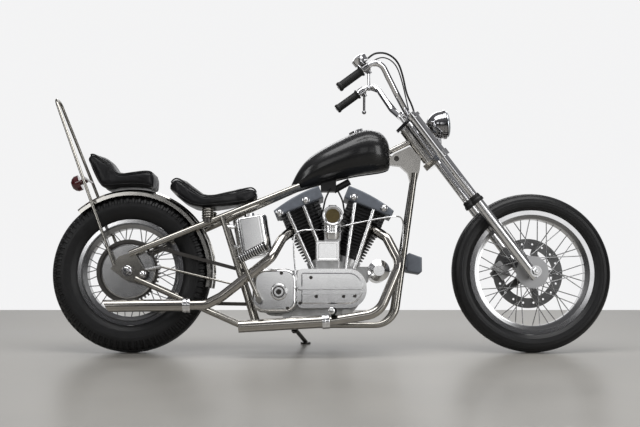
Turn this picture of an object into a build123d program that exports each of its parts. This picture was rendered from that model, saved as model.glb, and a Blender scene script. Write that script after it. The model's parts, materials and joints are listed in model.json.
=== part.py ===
from build123d import *
import os
from collections import namedtuple
from math import asin, cos, degrees, hypot, radians, sin, tan

# Chopper motorcycle: rigid frame, raked fork, air-cooled V-twin, parked leaning on its side stand.
# Every piece is modelled upright in the motorcycle's own frame, in millimetres: X forward from the
# rear axle, Y to the left, Z up from the floor. At the end all pieces lean over together.

# Driving dimensions
LEAN = 6.25
NECK_X = 1177.0
NECK_Z = 855.0
RAKE = 36.5
FORK_OFFSET = 50.0
AXLE_LEAD = 12.5
FORK_HALF = 92.0
TYRE_RADIUS = 327.0
RUNNING_GAP = 0.5
SEAT_GAP = 0.3

ALONG = (Align.CENTER, Align.CENTER, Align.MIN)
SIDES = (-1, 1)
pieces = {}


# Helpers
def rod(start, end, diameter, mode=Mode.ADD):
    """Add a round bar from one point to another."""
    run = Vector(*end) - Vector(*start)
    with Locations(Plane(start, z_dir=run).location):
        Cylinder(diameter / 2, run.length, align=ALONG, mode=mode)


def bent_tube(points, diameter, bend):
    """Sweep a round bar along straight runs joined by tangent arcs."""
    with BuildLine() as path:
        FilletPolyline(*points, radius=bend)
    with BuildSketch(Plane(path.line @ 0, z_dir=path.line % 0)) as section:
        Circle(diameter / 2)
    sweep(section.sketch, path=path.line)


def plate(outline, middle_y, thickness, mode=Mode.ADD, corner=0.0):
    """Add a flat plate, parallel to the centre plane, from an outline of (x, z) points."""
    with BuildSketch(Plane.XZ.offset(-middle_y - thickness / 2)) as face:
        with BuildLine():
            Polyline(*outline, close=True)
        make_face()
        if corner:
            fillet(face.vertices(), corner)
    extrude(face.sketch, amount=thickness, mode=mode)


def turned(plane, outline, mode=Mode.ADD):
    """Revolve an outline of (along, radius) points about the plane's own x axis."""
    with BuildSketch(plane) as profile:
        with BuildLine():
            Polyline(*outline, close=True)
        make_face()
    revolve(profile.sketch, axis=Axis(plane.origin, plane.x_dir), mode=mode)


def cross_plane(x, z, y=0.0):
    """A sketch plane whose x axis runs to the left through (x, y, z) and whose y axis runs up."""
    return Plane((x, y, z), x_dir=(0, 1, 0), z_dir=(1, 0, 0))


# Wheels: laced rims with round-crowned tyres, both of one outer radius
Wheel = namedtuple(
    "Wheel",
    "name seat_radius rim_half tyre_half crown_half crown_drop hub_radius hub_left hub_right"
    " flange_left flange_right flange_half bore",
)
REAR = Wheel("rear", 203.0, 44.0, 64.0, 54.0, 22.0, 34.0, 62.0, 78.0, 56.0, 56.0, 40.0, 21.0)
FRONT = Wheel("front", 241.0, 34.0, 49.0, 40.0, 15.0, 24.0, 58.0, 56.0, 44.0, 66.0, 36.0, 17.0)
FLANGE_HEIGHT = 14.0
FLANGE_WALL = 4.0
RIM_DEPTH = 22.0
RIM_WALL = 5.0
WELL_SHARE = 0.42
BEAD_GAP = 1.0
SPOKE_COUNT = 40
SPOKE_DIAMETER = 4.0
SPOKE_CROSS = 62.0
SPOKE_INSET = 7.0
FLANGE_THICKNESS = 7.0


def crown_radius(wheel):
    return (wheel.crown_half**2 + wheel.crown_drop**2) / (2 * wheel.crown_drop)


def axle_height(wheel):
    """Height of the upright axle from which the leaned tyre just touches the floor."""
    crown = crown_radius(wheel)
    return TYRE_RADIUS - crown + crown / cos(radians(LEAN))


REAR_AXLE_Z = axle_height(REAR)
FRONT_AXLE_Z = axle_height(FRONT)
FORWARD = Vector(cos(radians(RAKE)), 0, sin(radians(RAKE)))
UPWARD = Vector(-sin(radians(RAKE)), 0, cos(radians(RAKE)))
AXLE_FORWARD = FORK_OFFSET + AXLE_LEAD
AXLE_DROP = (NECK_Z + AXLE_FORWARD * FORWARD.Z - FRONT_AXLE_Z) / UPWARD.Z
FRONT_AXLE_X = NECK_X + AXLE_FORWARD * FORWARD.X - AXLE_DROP * UPWARD.X
AXLE_PLANES = {
    "rear": cross_plane(0, REAR_AXLE_Z),
    "front": cross_plane(FRONT_AXLE_X, FRONT_AXLE_Z),
}

for wheel in (REAR, FRONT):
    hub_plane = AXLE_PLANES[wheel.name]
    flange_radius = wheel.seat_radius + FLANGE_HEIGHT
    shoulder_radius = TYRE_RADIUS - wheel.crown_drop
    bead_half = wheel.rim_half - FLANGE_WALL - BEAD_GAP
    bead_top = flange_radius + BEAD_GAP
    with BuildPart() as tyre:
        with BuildSketch(hub_plane) as tyre_profile:
            with BuildLine():
                Polyline(
                    (-wheel.rim_half, bead_top),
                    (-bead_half, bead_top),
                    (-bead_half, wheel.seat_radius),
                    (bead_half, wheel.seat_radius),
                    (bead_half, bead_top),
                    (wheel.rim_half, bead_top),
                )
                middle_radius = (bead_top + shoulder_radius) / 2
                for side in SIDES:
                    ThreePointArc(
                        (side * wheel.rim_half, bead_top),
                        (side * wheel.tyre_half, middle_radius),
                        (side * wheel.crown_half, shoulder_radius),
                    )
                ThreePointArc(
                    (-wheel.crown_half, shoulder_radius),
                    (0, TYRE_RADIUS),
                    (wheel.crown_half, shoulder_radius),
                )
            make_face()
        revolve(axis=Axis(hub_plane.origin, hub_plane.x_dir))
    pieces[wheel.name + "_tyre"] = tyre

    # Rim channel, hub with two flanges, and crossed spokes between them
    well_half = WELL_SHARE * wheel.rim_half
    well_radius = wheel.seat_radius - RIM_DEPTH + RIM_WALL
    rim_inner = wheel.seat_radius - RIM_DEPTH
    flange_inner = wheel.rim_half - FLANGE_WALL
    with BuildPart() as laced:
        turned(
            hub_plane,
            [
                (-wheel.rim_half, flange_radius),
                (-flange_inner, flange_radius),
                (-flange_inner, wheel.seat_radius),
                (-well_half - RIM_WALL, wheel.seat_radius),
                (-well_half, well_radius),
                (well_half, well_radius),
                (well_half + RIM_WALL, wheel.seat_radius),
                (flange_inner, wheel.seat_radius),
                (flange_inner, flange_radius),
                (wheel.rim_half, flange_radius),
                (wheel.rim_half, wheel.seat_radius - RIM_WALL),
                (well_half + 2 * RIM_WALL, wheel.seat_radius - RIM_WALL),
                (well_half + RIM_WALL, rim_inner),
                (-well_half - RIM_WALL, rim_inner),
                (-well_half - 2 * RIM_WALL, wheel.seat_radius - RIM_WALL),
                (-wheel.rim_half, wheel.seat_radius - RIM_WALL),
            ],
        )
        turned(
            hub_plane,
            [
                (-wheel.hub_right, wheel.bore / 2),
                (-wheel.hub_right, wheel.hub_radius),
                (-wheel.flange_half - FLANGE_THICKNESS, wheel.hub_radius),
                (-wheel.flange_half - FLANGE_THICKNESS, wheel.flange_right),
                (-wheel.flange_half, wheel.flange_right),
                (-wheel.flange_half + FLANGE_THICKNESS, wheel.hub_radius),
                (wheel.flange_half - FLANGE_THICKNESS, wheel.hub_radius),
                (wheel.flange_half, wheel.flange_left),
                (wheel.flange_half + FLANGE_THICKNESS, wheel.flange_left),
                (wheel.flange_half + FLANGE_THICKNESS, wheel.hub_radius),
                (wheel.hub_left, wheel.hub_radius),
                (wheel.hub_left, wheel.bore / 2),
            ],
        )
        for side in SIDES:
            hub_ring = (wheel.flange_left if side > 0 else wheel.flange_right) - SPOKE_INSET
            hub_y = side * (wheel.flange_half + FLANGE_THICKNESS / 2)
            rim_y = side * well_half / 2
            rim_ring = rim_inner + RIM_WALL / 2
            seats = []
            for number in range(SPOKE_COUNT // 2):
                rim_angle = radians((2 * number + (side > 0)) * 360 / SPOKE_COUNT)
                lead = 1 if number % 2 else -1
                hub_angle = rim_angle + lead * radians(SPOKE_CROSS)
                head = Vector(hub_ring * cos(hub_angle), hub_y, hub_ring * sin(hub_angle))
                nipple = Vector(rim_ring * cos(rim_angle), rim_y, rim_ring * sin(rim_angle))
                run = nipple - head
                seats.append(Plane(hub_plane.origin + head, z_dir=run).location)
            with Locations(*seats):
                Cylinder(SPOKE_DIAMETER / 2, run.length, align=ALONG)
    pieces[wheel.name + "_wheel"] = laced

# Rear sprocket, bolted to the right end of the hub, and front brake disc on the left end
SPROCKET_TEETH = 48
SPROCKET_RADIUS = 127.0
CHAIN_RADIUS = 123.0
ROLLER_RADIUS = 5.0
SPROCKET_WIDTH = 7.0
SPROCKET_Y = -REAR.hub_right - SPROCKET_WIDTH / 2
ROTOR_RADIUS = 145.0
ROTOR_INNER = 103.0
ROTOR_WIDTH = 5.5
ROTOR_HOLES = 18
ROTOR_HOLE_RADIUS = 4.5
ROTOR_ARMS = 5
ARM_WIDTH = 28.0

with BuildPart() as rear_sprocket:
    with BuildSketch(Plane.XZ.offset(REAR.hub_right)):
        with Locations((0, REAR_AXLE_Z)):
            Circle(SPROCKET_RADIUS)
            Circle(REAR.bore / 2, mode=Mode.SUBTRACT)
            with PolarLocations(CHAIN_RADIUS, SPROCKET_TEETH):
                Circle(ROLLER_RADIUS, mode=Mode.SUBTRACT)
    extrude(amount=SPROCKET_WIDTH)
pieces["rear_sprocket"] = rear_sprocket

with BuildPart() as front_rotor:
    with BuildSketch(Plane.XZ.offset(-FRONT.hub_left - ROTOR_WIDTH)):
        with Locations((FRONT_AXLE_X, FRONT_AXLE_Z)):
            Circle(ROTOR_RADIUS)
            Circle(ROTOR_INNER, mode=Mode.SUBTRACT)
            with PolarLocations(ROTOR_INNER / 2, ROTOR_ARMS):
                Rectangle(ROTOR_INNER + ROTOR_WIDTH, ARM_WIDTH)
            Circle(FRONT.flange_left)
            Circle(FRONT.bore / 2, mode=Mode.SUBTRACT)
            with PolarLocations((ROTOR_RADIUS + ROTOR_INNER) / 2, ROTOR_HOLES):
                Circle(ROTOR_HOLE_RADIUS, mode=Mode.SUBTRACT)
    extrude(amount=ROTOR_WIDTH)
pieces["front_rotor"] = front_rotor

# Fork, in steering coordinates: forward from the steering axis, left, and up along the axis
STEER = Plane((NECK_X, 0, NECK_Z), x_dir=FORWARD, z_dir=UPWARD)
LOWER_TREE_TOP = -84.0
LOWER_TREE_DEPTH = 26.0
UPPER_TREE_BOTTOM = 90.0
UPPER_TREE_DEPTH = 14.0
CLAMP_RADIUS = 29.0
STEM_RADIUS = 13.0
STEM_BOSS = 27.0
TUBE_DIAMETER = 35.0
SHROUD_DIAMETER = 46.0
TUBE_TOP = 116.0
LEG_TOP = -330.0
LEG_DIAMETER = 42.0
LEG_BORE_DEPTH = 70.0
LEG_END_BELOW_AXLE = 22.0
AXLE_BOSS = 46.0
BOOT_DIAMETER = 54.0
BOOT_ABOVE = 22.0
BOOT_BELOW = 12.0
FRONT_AXLE_HALF = 118.0
FRONT_NUT = 24.0
BAR_DIAMETER = 25.4
BAR_FORWARD = 40.0
BAR_UP = 126.0
RISER_HALF = 32.0
RISER_WIDTH = 28.0
RISER_DEPTH = 40.0
lower_tree_bottom = LOWER_TREE_TOP - LOWER_TREE_DEPTH
upper_tree_top = UPPER_TREE_BOTTOM + UPPER_TREE_DEPTH
fork_seats = [(FORK_OFFSET, side * FORK_HALF) for side in SIDES]


def steer(forward, left, up):
    """A point given in steering coordinates."""
    return STEER.from_local_coords((forward, left, up))


def add_tree(bottom, depth):
    """Add a rounded triangular yoke with bores for the fork tubes."""
    with BuildSketch(STEER.offset(bottom)) as yoke:
        with Locations(*fork_seats):
            Circle(CLAMP_RADIUS)
        Circle(STEM_BOSS)
        make_hull()
        with Locations(*fork_seats):
            Circle(TUBE_DIAMETER / 2, mode=Mode.SUBTRACT)
    extrude(yoke.sketch, amount=depth)


with BuildPart() as lower_tree:
    add_tree(lower_tree_bottom, LOWER_TREE_DEPTH)
    rod(steer(0, 0, LOWER_TREE_TOP), steer(0, 0, UPPER_TREE_BOTTOM), 2 * STEM_RADIUS)
pieces["lower_tree"] = lower_tree

with BuildPart() as upper_tree:
    add_tree(UPPER_TREE_BOTTOM, UPPER_TREE_DEPTH)
    riser_height = BAR_UP - upper_tree_top + BAR_DIAMETER
    with BuildSketch(STEER.offset(upper_tree_top)):
        for side in SIDES:
            with Locations((BAR_FORWARD, side * RISER_HALF)):
                RectangleRounded(RISER_DEPTH, RISER_WIDTH, RISER_DEPTH / 10)
    extrude(amount=riser_height)
    rod(
        steer(BAR_FORWARD, -2 * RISER_HALF, BAR_UP),
        steer(BAR_FORWARD, 2 * RISER_HALF, BAR_UP),
        BAR_DIAMETER,
        mode=Mode.SUBTRACT,
    )
pieces["upper_tree"] = upper_tree

with BuildPart() as fork_tubes:
    for side in SIDES:
        y = side * FORK_HALF
        rod(steer(FORK_OFFSET, y, LEG_TOP - LEG_BORE_DEPTH), steer(FORK_OFFSET, y, TUBE_TOP), TUBE_DIAMETER)
        rod(steer(FORK_OFFSET, y, LOWER_TREE_TOP), steer(FORK_OFFSET, y, UPPER_TREE_BOTTOM), SHROUD_DIAMETER)
pieces["fork_tubes"] = fork_tubes

leg_end = -AXLE_DROP - LEG_END_BELOW_AXLE
with BuildPart() as fork_legs:
    for side in SIDES:
        y = side * FORK_HALF
        rod(steer(FORK_OFFSET, y, leg_end), steer(FORK_OFFSET, y, LEG_TOP), LEG_DIAMETER)
        boss_y = [y - LEG_DIAMETER / 2, y + LEG_DIAMETER / 2]
        rod(steer(AXLE_FORWARD, boss_y[0], -AXLE_DROP), steer(AXLE_FORWARD, boss_y[1], -AXLE_DROP), AXLE_BOSS)
        rod(
            steer(FORK_OFFSET, y, LEG_TOP - LEG_BORE_DEPTH),
            steer(FORK_OFFSET, y, LEG_TOP),
            TUBE_DIAMETER,
            mode=Mode.SUBTRACT,
        )
    rod(
        steer(AXLE_FORWARD, -FRONT_AXLE_HALF, -AXLE_DROP),
        steer(AXLE_FORWARD, FRONT_AXLE_HALF, -AXLE_DROP),
        FRONT.bore - 2 * RUNNING_GAP,
        mode=Mode.SUBTRACT,
    )
pieces["fork_legs"] = fork_legs

with BuildPart() as fork_boots:
    for side in SIDES:
        boot_plane = Plane(steer(FORK_OFFSET, side * FORK_HALF, LEG_TOP), x_dir=UPWARD, z_dir=(0, 1, 0))
        turned(
            boot_plane,
            [
                (-BOOT_BELOW, LEG_DIAMETER / 2),
                (-BOOT_BELOW, BOOT_DIAMETER / 2),
                (0, BOOT_DIAMETER / 2),
                (BOOT_ABOVE / 3, SHROUD_DIAMETER / 2),
                (2 * BOOT_ABOVE / 3, SHROUD_DIAMETER / 2),
                (BOOT_ABOVE, LEG_DIAMETER / 2),
                (BOOT_ABOVE, TUBE_DIAMETER / 2),
                (0, TUBE_DIAMETER / 2),
                (0, LEG_DIAMETER / 2),
            ],
        )
pieces["fork_boots"] = fork_boots

# Front axle with a nut on each end, and the brake caliper on the back of the left leg
CALIPER_GAP = 4.0
CALIPER_INNER = 42.0
BRACKET_WIDTH = 12.0
CALIPER_HEIGHT = 74.0
CALIPER_DEPTH = 44.0
CALIPER_BACK = 62.0
CALIPER_UP = 76.0
leg_outer = FORK_HALF + LEG_DIAMETER / 2
with BuildPart() as front_axle:
    axle_ends = [steer(AXLE_FORWARD, side * FRONT_AXLE_HALF, -AXLE_DROP) for side in SIDES]
    rod(axle_ends[0], axle_ends[1], FRONT.bore - 2 * RUNNING_GAP)
    for side, end in zip(SIDES, axle_ends):
        rod(steer(AXLE_FORWARD, side * leg_outer, -AXLE_DROP), end, FRONT_NUT)
pieces["front_axle"] = front_axle

rotor_y = FRONT.hub_left + ROTOR_WIDTH / 2
caliper_outer = FORK_HALF + BRACKET_WIDTH / 2
with BuildPart() as caliper:
    caliper_seat = steer(AXLE_FORWARD - CALIPER_BACK, FORK_HALF, CALIPER_UP - AXLE_DROP)
    with Locations(Plane(caliper_seat, x_dir=FORWARD, z_dir=UPWARD).location):
        with Locations((-CALIPER_DEPTH / 2, (CALIPER_INNER - FORK_HALF + BRACKET_WIDTH / 2) / 2, 0)):
            Box(CALIPER_DEPTH, caliper_outer - CALIPER_INNER, CALIPER_HEIGHT)
        Box(2 * CALIPER_BACK, BRACKET_WIDTH, CALIPER_HEIGHT / 2)
    fillet(caliper.edges().filter_by(Axis.Y), CALIPER_HEIGHT / 12)
    disc_room = ROTOR_RADIUS + CALIPER_GAP
    with Locations(Plane((FRONT_AXLE_X, rotor_y, FRONT_AXLE_Z), z_dir=(0, 1, 0)).location):
        Cylinder(disc_room, ROTOR_WIDTH + 2 * CALIPER_GAP, mode=Mode.SUBTRACT)
    add(fork_legs.part, mode=Mode.SUBTRACT)
pieces["caliper"] = caliper

# Handlebar: a tall bar with pulled-back grips, from the right grip's end to the left one's
BAR_BEND = 42.0
FOOT_RUN = 27.0
GRIP_END = Vector(848, 210, 1057)
BAR_APEX = Vector(1012, 210, 1178)
BAR_KNEE = Vector(1088, 150, 1042)
GRIP_DIAMETER = 33.0
GRIP_LENGTH = 112.0
GRIP_FLANGE = 44.0
GRIP_FLANGE_WIDTH = 6.0
bar_foot = steer(BAR_FORWARD, RISER_HALF + RISER_WIDTH / 2 + FOOT_RUN, BAR_UP)
half_bar = [GRIP_END, BAR_APEX, BAR_KNEE, bar_foot]
bar_points = [Vector(p.X, -p.Y, p.Z) for p in half_bar] + half_bar[::-1]
grip_run = (BAR_APEX - GRIP_END).normalized()


def on_side(point, side):
    """The same point on the chosen side of the centre plane."""
    return Vector(point.X, side * point.Y, point.Z)


with BuildPart() as handlebar:
    bent_tube(bar_points, BAR_DIAMETER, BAR_BEND)
pieces["handlebar"] = handlebar

with BuildPart() as grips:
    for side in SIDES:
        direction = on_side(grip_run, side)
        grip_plane = Plane(on_side(GRIP_END, side), x_dir=direction, z_dir=(0, 1, 0))
        turned(
            grip_plane,
            [
                (-GRIP_FLANGE_WIDTH, 0),
                (-GRIP_FLANGE_WIDTH, GRIP_DIAMETER / 2),
                (GRIP_LENGTH, GRIP_DIAMETER / 2),
                (GRIP_LENGTH, GRIP_FLANGE / 2),
                (GRIP_LENGTH + GRIP_FLANGE_WIDTH, GRIP_FLANGE / 2),
                (GRIP_LENGTH + GRIP_FLANGE_WIDTH, BAR_DIAMETER / 2),
                (0, BAR_DIAMETER / 2),
                (0, 0),
            ],
        )
pieces["grips"] = grips

# Lever perches ahead of the grips; the right one carries the brake fluid reservoir
PERCH_START = GRIP_LENGTH + GRIP_FLANGE_WIDTH + 6.0
PERCH_LENGTH = 26.0
PERCH_DIAMETER = 38.0
PERCH_REACH = 30.0
REACH_DIAMETER = 20.0
LEVER_DIAMETER = 11.0
LEVER_DROP = 20.0
LEVER_LENGTH = 76.0
LEVER_SPLAY = 0.3
BALL_DIAMETER = 19.0
RESERVOIR_DIAMETER = 62.0
RESERVOIR_HEIGHT = 20.0
RESERVOIR_OUT = 34.0
grip_down = Vector(0, 1, 0).cross(grip_run).normalized()


def add_lever(side):
    """Add a perch clamped on the bar, with a ball-ended lever that hangs down from it."""
    direction = on_side(grip_run, side)
    perch_middle = PERCH_START + PERCH_LENGTH / 2
    start = on_side(GRIP_END, side) + direction * PERCH_START
    rod(start, start + direction * PERCH_LENGTH, PERCH_DIAMETER)
    root = on_side(GRIP_END, side) + direction * perch_middle
    knee = root + grip_down * LEVER_DROP
    lever_run = Vector(0, side * LEVER_SPLAY, -1).normalized()
    tip = knee + lever_run * LEVER_LENGTH
    rod(root, root + grip_down * PERCH_REACH, REACH_DIAMETER)
    rod(knee, tip, LEVER_DIAMETER)
    with Locations(Plane(tip, z_dir=lever_run).location):
        Sphere(BALL_DIAMETER / 2)
    return root


def bore_perch(side):
    """Bore a lever perch for the straight run of bar that it is clamped on."""
    direction = on_side(grip_run, side)
    start = on_side(GRIP_END, side) + direction * PERCH_START
    rod(start, start + direction * PERCH_LENGTH, BAR_DIAMETER, mode=Mode.SUBTRACT)


with BuildPart() as brake_lever:
    perch = add_lever(-1)
    cup = perch - grip_down * PERCH_DIAMETER / 4
    rod(cup, cup - grip_down * RESERVOIR_OUT, REACH_DIAMETER)
    lid = cup - grip_down * RESERVOIR_OUT / 2
    rod(lid, lid - grip_down * RESERVOIR_HEIGHT, RESERVOIR_DIAMETER)
    bore_perch(-1)
pieces["brake_lever"] = brake_lever

with BuildPart() as clutch_lever:
    add_lever(1)
    bore_perch(1)
pieces["clutch_lever"] = clutch_lever

# Control hoses that follow the bar from the levers down to the yokes
HOSE_DIAMETER = 8.0
HOSE_BEND = 26.0
brake_hose_route = [
    (946, -210, 1156),
    (1006, -196, 1206),
    (1052, -160, 1212),
    (1096, -128, 1186),
    (1118, -104, 1126),
    (1132, -84, 1060),
]
with BuildPart() as brake_hose:
    hose_end = steer(FORK_OFFSET + CLAMP_RADIUS / 2, -RISER_HALF - RISER_WIDTH, upper_tree_top)
    bent_tube(brake_hose_route + [hose_end + Vector(0, 0, HOSE_BEND), hose_end], HOSE_DIAMETER, HOSE_BEND)
    for neighbour in (brake_lever, upper_tree):
        add(neighbour.part, mode=Mode.SUBTRACT)
pieces["brake_hose"] = brake_hose

# Headlamp: a bowl with a domed lens on a post from the lower yoke
LAMP_X = 1301.0
LAMP_Z = 949.0
LAMP_TILT = 5.0
LAMP_RADIUS = 61.5
LAMP_DEPTH = 84.0
LAMP_RIM = 12.0
LENS_RISE = 13.0
POST_DIAMETER = 16.0
lamp_axis = Vector(cos(radians(LAMP_TILT)), 0, sin(radians(LAMP_TILT)))
lamp_plane = Plane((LAMP_X, 0, LAMP_Z), x_dir=lamp_axis, z_dir=(0, -1, 0))
with BuildPart() as headlamp:
    with BuildSketch(lamp_plane) as lamp_profile:
        with BuildLine():
            Polyline((-LAMP_DEPTH, 0), (LENS_RISE, 0))
            ThreePointArc((LENS_RISE, 0), (LENS_RISE * 0.72, LAMP_RADIUS / 2), (0, LAMP_RADIUS - LAMP_RIM / 2))
            Polyline(
                (0, LAMP_RADIUS - LAMP_RIM / 2),
                (0, LAMP_RADIUS),
                (-LAMP_RIM, LAMP_RADIUS),
                (-LAMP_RIM, LAMP_RADIUS - LAMP_RIM / 3),
            )
            ThreePointArc(
                (-LAMP_RIM, LAMP_RADIUS - LAMP_RIM / 3),
                (-0.72 * LAMP_DEPTH, 0.68 * LAMP_RADIUS),
                (-LAMP_DEPTH, 0),
            )
        make_face()
    revolve(axis=Axis(lamp_plane.origin, lamp_plane.x_dir))
    post_top = Vector(LAMP_X, 0, LAMP_Z) - lamp_axis * LAMP_DEPTH / 3
    post_foot = steer(FORK_OFFSET + CLAMP_RADIUS - POST_DIAMETER, 0, LOWER_TREE_TOP)
    rod(post_foot, post_top, POST_DIAMETER)
    add(lower_tree.part, mode=Mode.SUBTRACT)
pieces["headlamp"] = headlamp

# Frame: a cast neck, one backbone, a twin-tube cradle and straight stays to the axle plates
NECK_DIAMETER = 35.0
NECK_TOP = 84.0
NECK_BOTTOM = -78.0
GUSSET_WIDTH = 34.0
TOP_TUBE = 24.0
TOP_TUBE_REAR = (1058, 0, 830)
TOP_TUBE_UP = 30.0
LUG_X = 1094.0
LUG_Z = 802.0
LUG_BORE = 22.0
BACKBONE_DIAMETER = 34.0
BACKBONE_REAR = (655, 0, 672)
BACKBONE_FRONT = (1076, 0, 801)
UPPER_STAY_DIAMETER = 28.0
UPPER_STAY_REAR = Vector(8, 124, 396)
UPPER_STAY_FRONT = Vector(690, 26, 685)
LOWER_STAY_DIAMETER = 22.0
LOWER_STAY_REAR = Vector(33, 124, 297)
RAIL_DIAMETER = 25.0
RAIL_REAR = Vector(450, 105, 112)
RAIL_SPLIT = Vector(940, 115.2, 112)
CRADLE_CORNER = Vector(1072, 118, 112)
DOWNTUBE_TOP = Vector(1168, 27, 738)
CRADLE_BEND = 90.0
POST_TUBE = 22.0
POST_TOP = Vector(376, 90, 552)
POST_FOOT = Vector(516, 123, 112)
AXLE_PLATE_Y = 124.0
AXLE_PLATE_WIDTH = 8.0
REAR_AXLE_DIAMETER = REAR.bore - 2 * RUNNING_GAP
gusset_outline = [
    (1064, 776), (1068, 806), (1084, 822), (1150, 853), (1196, 805), (1190, 754), (1176, 700), (1150, 704), (1140, 742),
    (1108, 771),
]
axle_plate_outline = [(-66, 336), (-34, 386), (28, 406), (74, 326), (52, 274), (-6, 290)]

with BuildPart() as neck:
    plate(gusset_outline, 0, GUSSET_WIDTH)
    rod(steer(0, 0, NECK_BOTTOM), steer(0, 0, NECK_TOP), NECK_DIAMETER)
    rod(TOP_TUBE_REAR, steer(0, 0, TOP_TUBE_UP), TOP_TUBE)
    stem_bore = 2 * (STEM_RADIUS + RUNNING_GAP)
    rod(steer(0, 0, NECK_BOTTOM), steer(0, 0, NECK_TOP), stem_bore, mode=Mode.SUBTRACT)
    rod((LUG_X, -GUSSET_WIDTH, LUG_Z), (LUG_X, GUSSET_WIDTH, LUG_Z), LUG_BORE, mode=Mode.SUBTRACT)
pieces["neck"] = neck

with BuildPart() as backbone:
    rod(BACKBONE_REAR, BACKBONE_FRONT, BACKBONE_DIAMETER)
    add(neck.part, mode=Mode.SUBTRACT)
pieces["backbone"] = backbone

with BuildPart() as axle_plates:
    for side in SIDES:
        plate(axle_plate_outline, side * AXLE_PLATE_Y, AXLE_PLATE_WIDTH)
    rod((0, -2 * AXLE_PLATE_Y, REAR_AXLE_Z), (0, 2 * AXLE_PLATE_Y, REAR_AXLE_Z), REAR_AXLE_DIAMETER, Mode.SUBTRACT)
pieces["axle_plates"] = axle_plates

with BuildPart() as upper_stays:
    for side in SIDES:
        rod(on_side(UPPER_STAY_REAR, side), on_side(UPPER_STAY_FRONT, side), UPPER_STAY_DIAMETER)
    add(backbone.part, mode=Mode.SUBTRACT)
    add(axle_plates.part, mode=Mode.SUBTRACT)
pieces["upper_stays"] = upper_stays

stay_run = UPPER_STAY_FRONT - UPPER_STAY_REAR


def stay_point(x, side):
    """The point on an upper stay's centre line at a given x."""
    return on_side(UPPER_STAY_REAR + stay_run * ((x - UPPER_STAY_REAR.X) / stay_run.X), side)


with BuildPart() as rails:
    for side in SIDES:
        rod(on_side(RAIL_REAR, side), on_side(RAIL_SPLIT, side), RAIL_DIAMETER)
pieces["rails"] = rails

with BuildPart() as downtubes:
    for side in SIDES:
        bent_tube([on_side(p, side) for p in (RAIL_SPLIT, CRADLE_CORNER, DOWNTUBE_TOP)], RAIL_DIAMETER, CRADLE_BEND)
    add(neck.part, mode=Mode.SUBTRACT)
    add(rails.part, mode=Mode.SUBTRACT)
pieces["downtubes"] = downtubes

with BuildPart() as lower_stays:
    for side in SIDES:
        rod(on_side(LOWER_STAY_REAR, side), on_side(RAIL_REAR, side), LOWER_STAY_DIAMETER)
    add(rails.part, mode=Mode.SUBTRACT)
    add(axle_plates.part, mode=Mode.SUBTRACT)
pieces["lower_stays"] = lower_stays

with BuildPart() as seat_posts:
    for side in SIDES:
        rod(on_side(POST_TOP, side), on_side(POST_FOOT, side), POST_TUBE)
    add(upper_stays.part, mode=Mode.SUBTRACT)
    add(rails.part, mode=Mode.SUBTRACT)
pieces["seat_posts"] = seat_posts

# Rear axle with nuts and a spacer, and the rear brake plate that stands still beside the sprocket
REAR_AXLE_HALF = 150.0
REAR_NUT = 30.0
SPACER_DIAMETER = 32.0
BRAKE_PLATE_RADIUS = 110.0
BRAKE_PLATE_INNER = 90.5
BRAKE_PLATE_OUTER = 100.0
BRAKE_BOSS = 28.0
BRAKE_EDGE = 6.0
BRAKE_ARM_TIP = Vector(134, -112, 345)
BRAKE_ARM_ROOT = Vector(62, -110, 330)
BRAKE_ROD_END = Vector(467, -112, 265)
ARM_DIAMETER = 16.0
ROD_DIAMETER = 8.0
plate_inner = AXLE_PLATE_Y - AXLE_PLATE_WIDTH / 2
plate_outer = AXLE_PLATE_Y + AXLE_PLATE_WIDTH / 2
with BuildPart() as rear_axle:
    rod((0, -REAR_AXLE_HALF, REAR_AXLE_Z), (0, REAR_AXLE_HALF, REAR_AXLE_Z), REAR_AXLE_DIAMETER)
    for side in SIDES:
        nut_end = side * (plate_outer + REAR_NUT / 2)
        rod((0, side * plate_outer, REAR_AXLE_Z), (0, nut_end, REAR_AXLE_Z), REAR_NUT)
    rod((0, REAR.hub_left + RUNNING_GAP, REAR_AXLE_Z), (0, plate_inner, REAR_AXLE_Z), SPACER_DIAMETER)
pieces["rear_axle"] = rear_axle

with BuildPart() as brake_plate:
    turned(
        AXLE_PLANES["rear"],
        [
            (-plate_inner, REAR_AXLE_DIAMETER / 2),
            (-plate_inner, BRAKE_BOSS),
            (-BRAKE_PLATE_OUTER, BRAKE_BOSS),
            (-BRAKE_PLATE_OUTER, BRAKE_PLATE_RADIUS - BRAKE_EDGE),
            (-BRAKE_PLATE_OUTER + BRAKE_EDGE, BRAKE_PLATE_RADIUS),
            (-BRAKE_PLATE_INNER, BRAKE_PLATE_RADIUS),
            (-BRAKE_PLATE_INNER, REAR_AXLE_DIAMETER / 2),
        ],
    )
    rod(BRAKE_ARM_ROOT, BRAKE_ARM_TIP, ARM_DIAMETER)
pieces["brake_plate"] = brake_plate

with BuildPart() as brake_rod:
    rod(BRAKE_ARM_TIP, BRAKE_ROD_END, ROD_DIAMETER)
    add(brake_plate.part, mode=Mode.SUBTRACT)
    add(seat_posts.part, mode=Mode.SUBTRACT)
pieces["brake_rod"] = brake_rod

# Sissy bar: one bent rod, from plate to plate over the back of the passenger seat
SISSY_DIAMETER = 12.7
SISSY_BENDS = [240.0, 36.0, 36.0, 240.0]
half_sissy = [Vector(-50, 130, 347), Vector(-188, 100, 697), Vector(-327, 44, 1050)]
with BuildPart() as sissy_bar:
    bent_tube([on_side(p, -1) for p in half_sissy] + half_sissy[::-1], SISSY_DIAMETER, SISSY_BENDS)
    add(axle_plates.part, mode=Mode.SUBTRACT)
pieces["sissy_bar"] = sissy_bar

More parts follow.
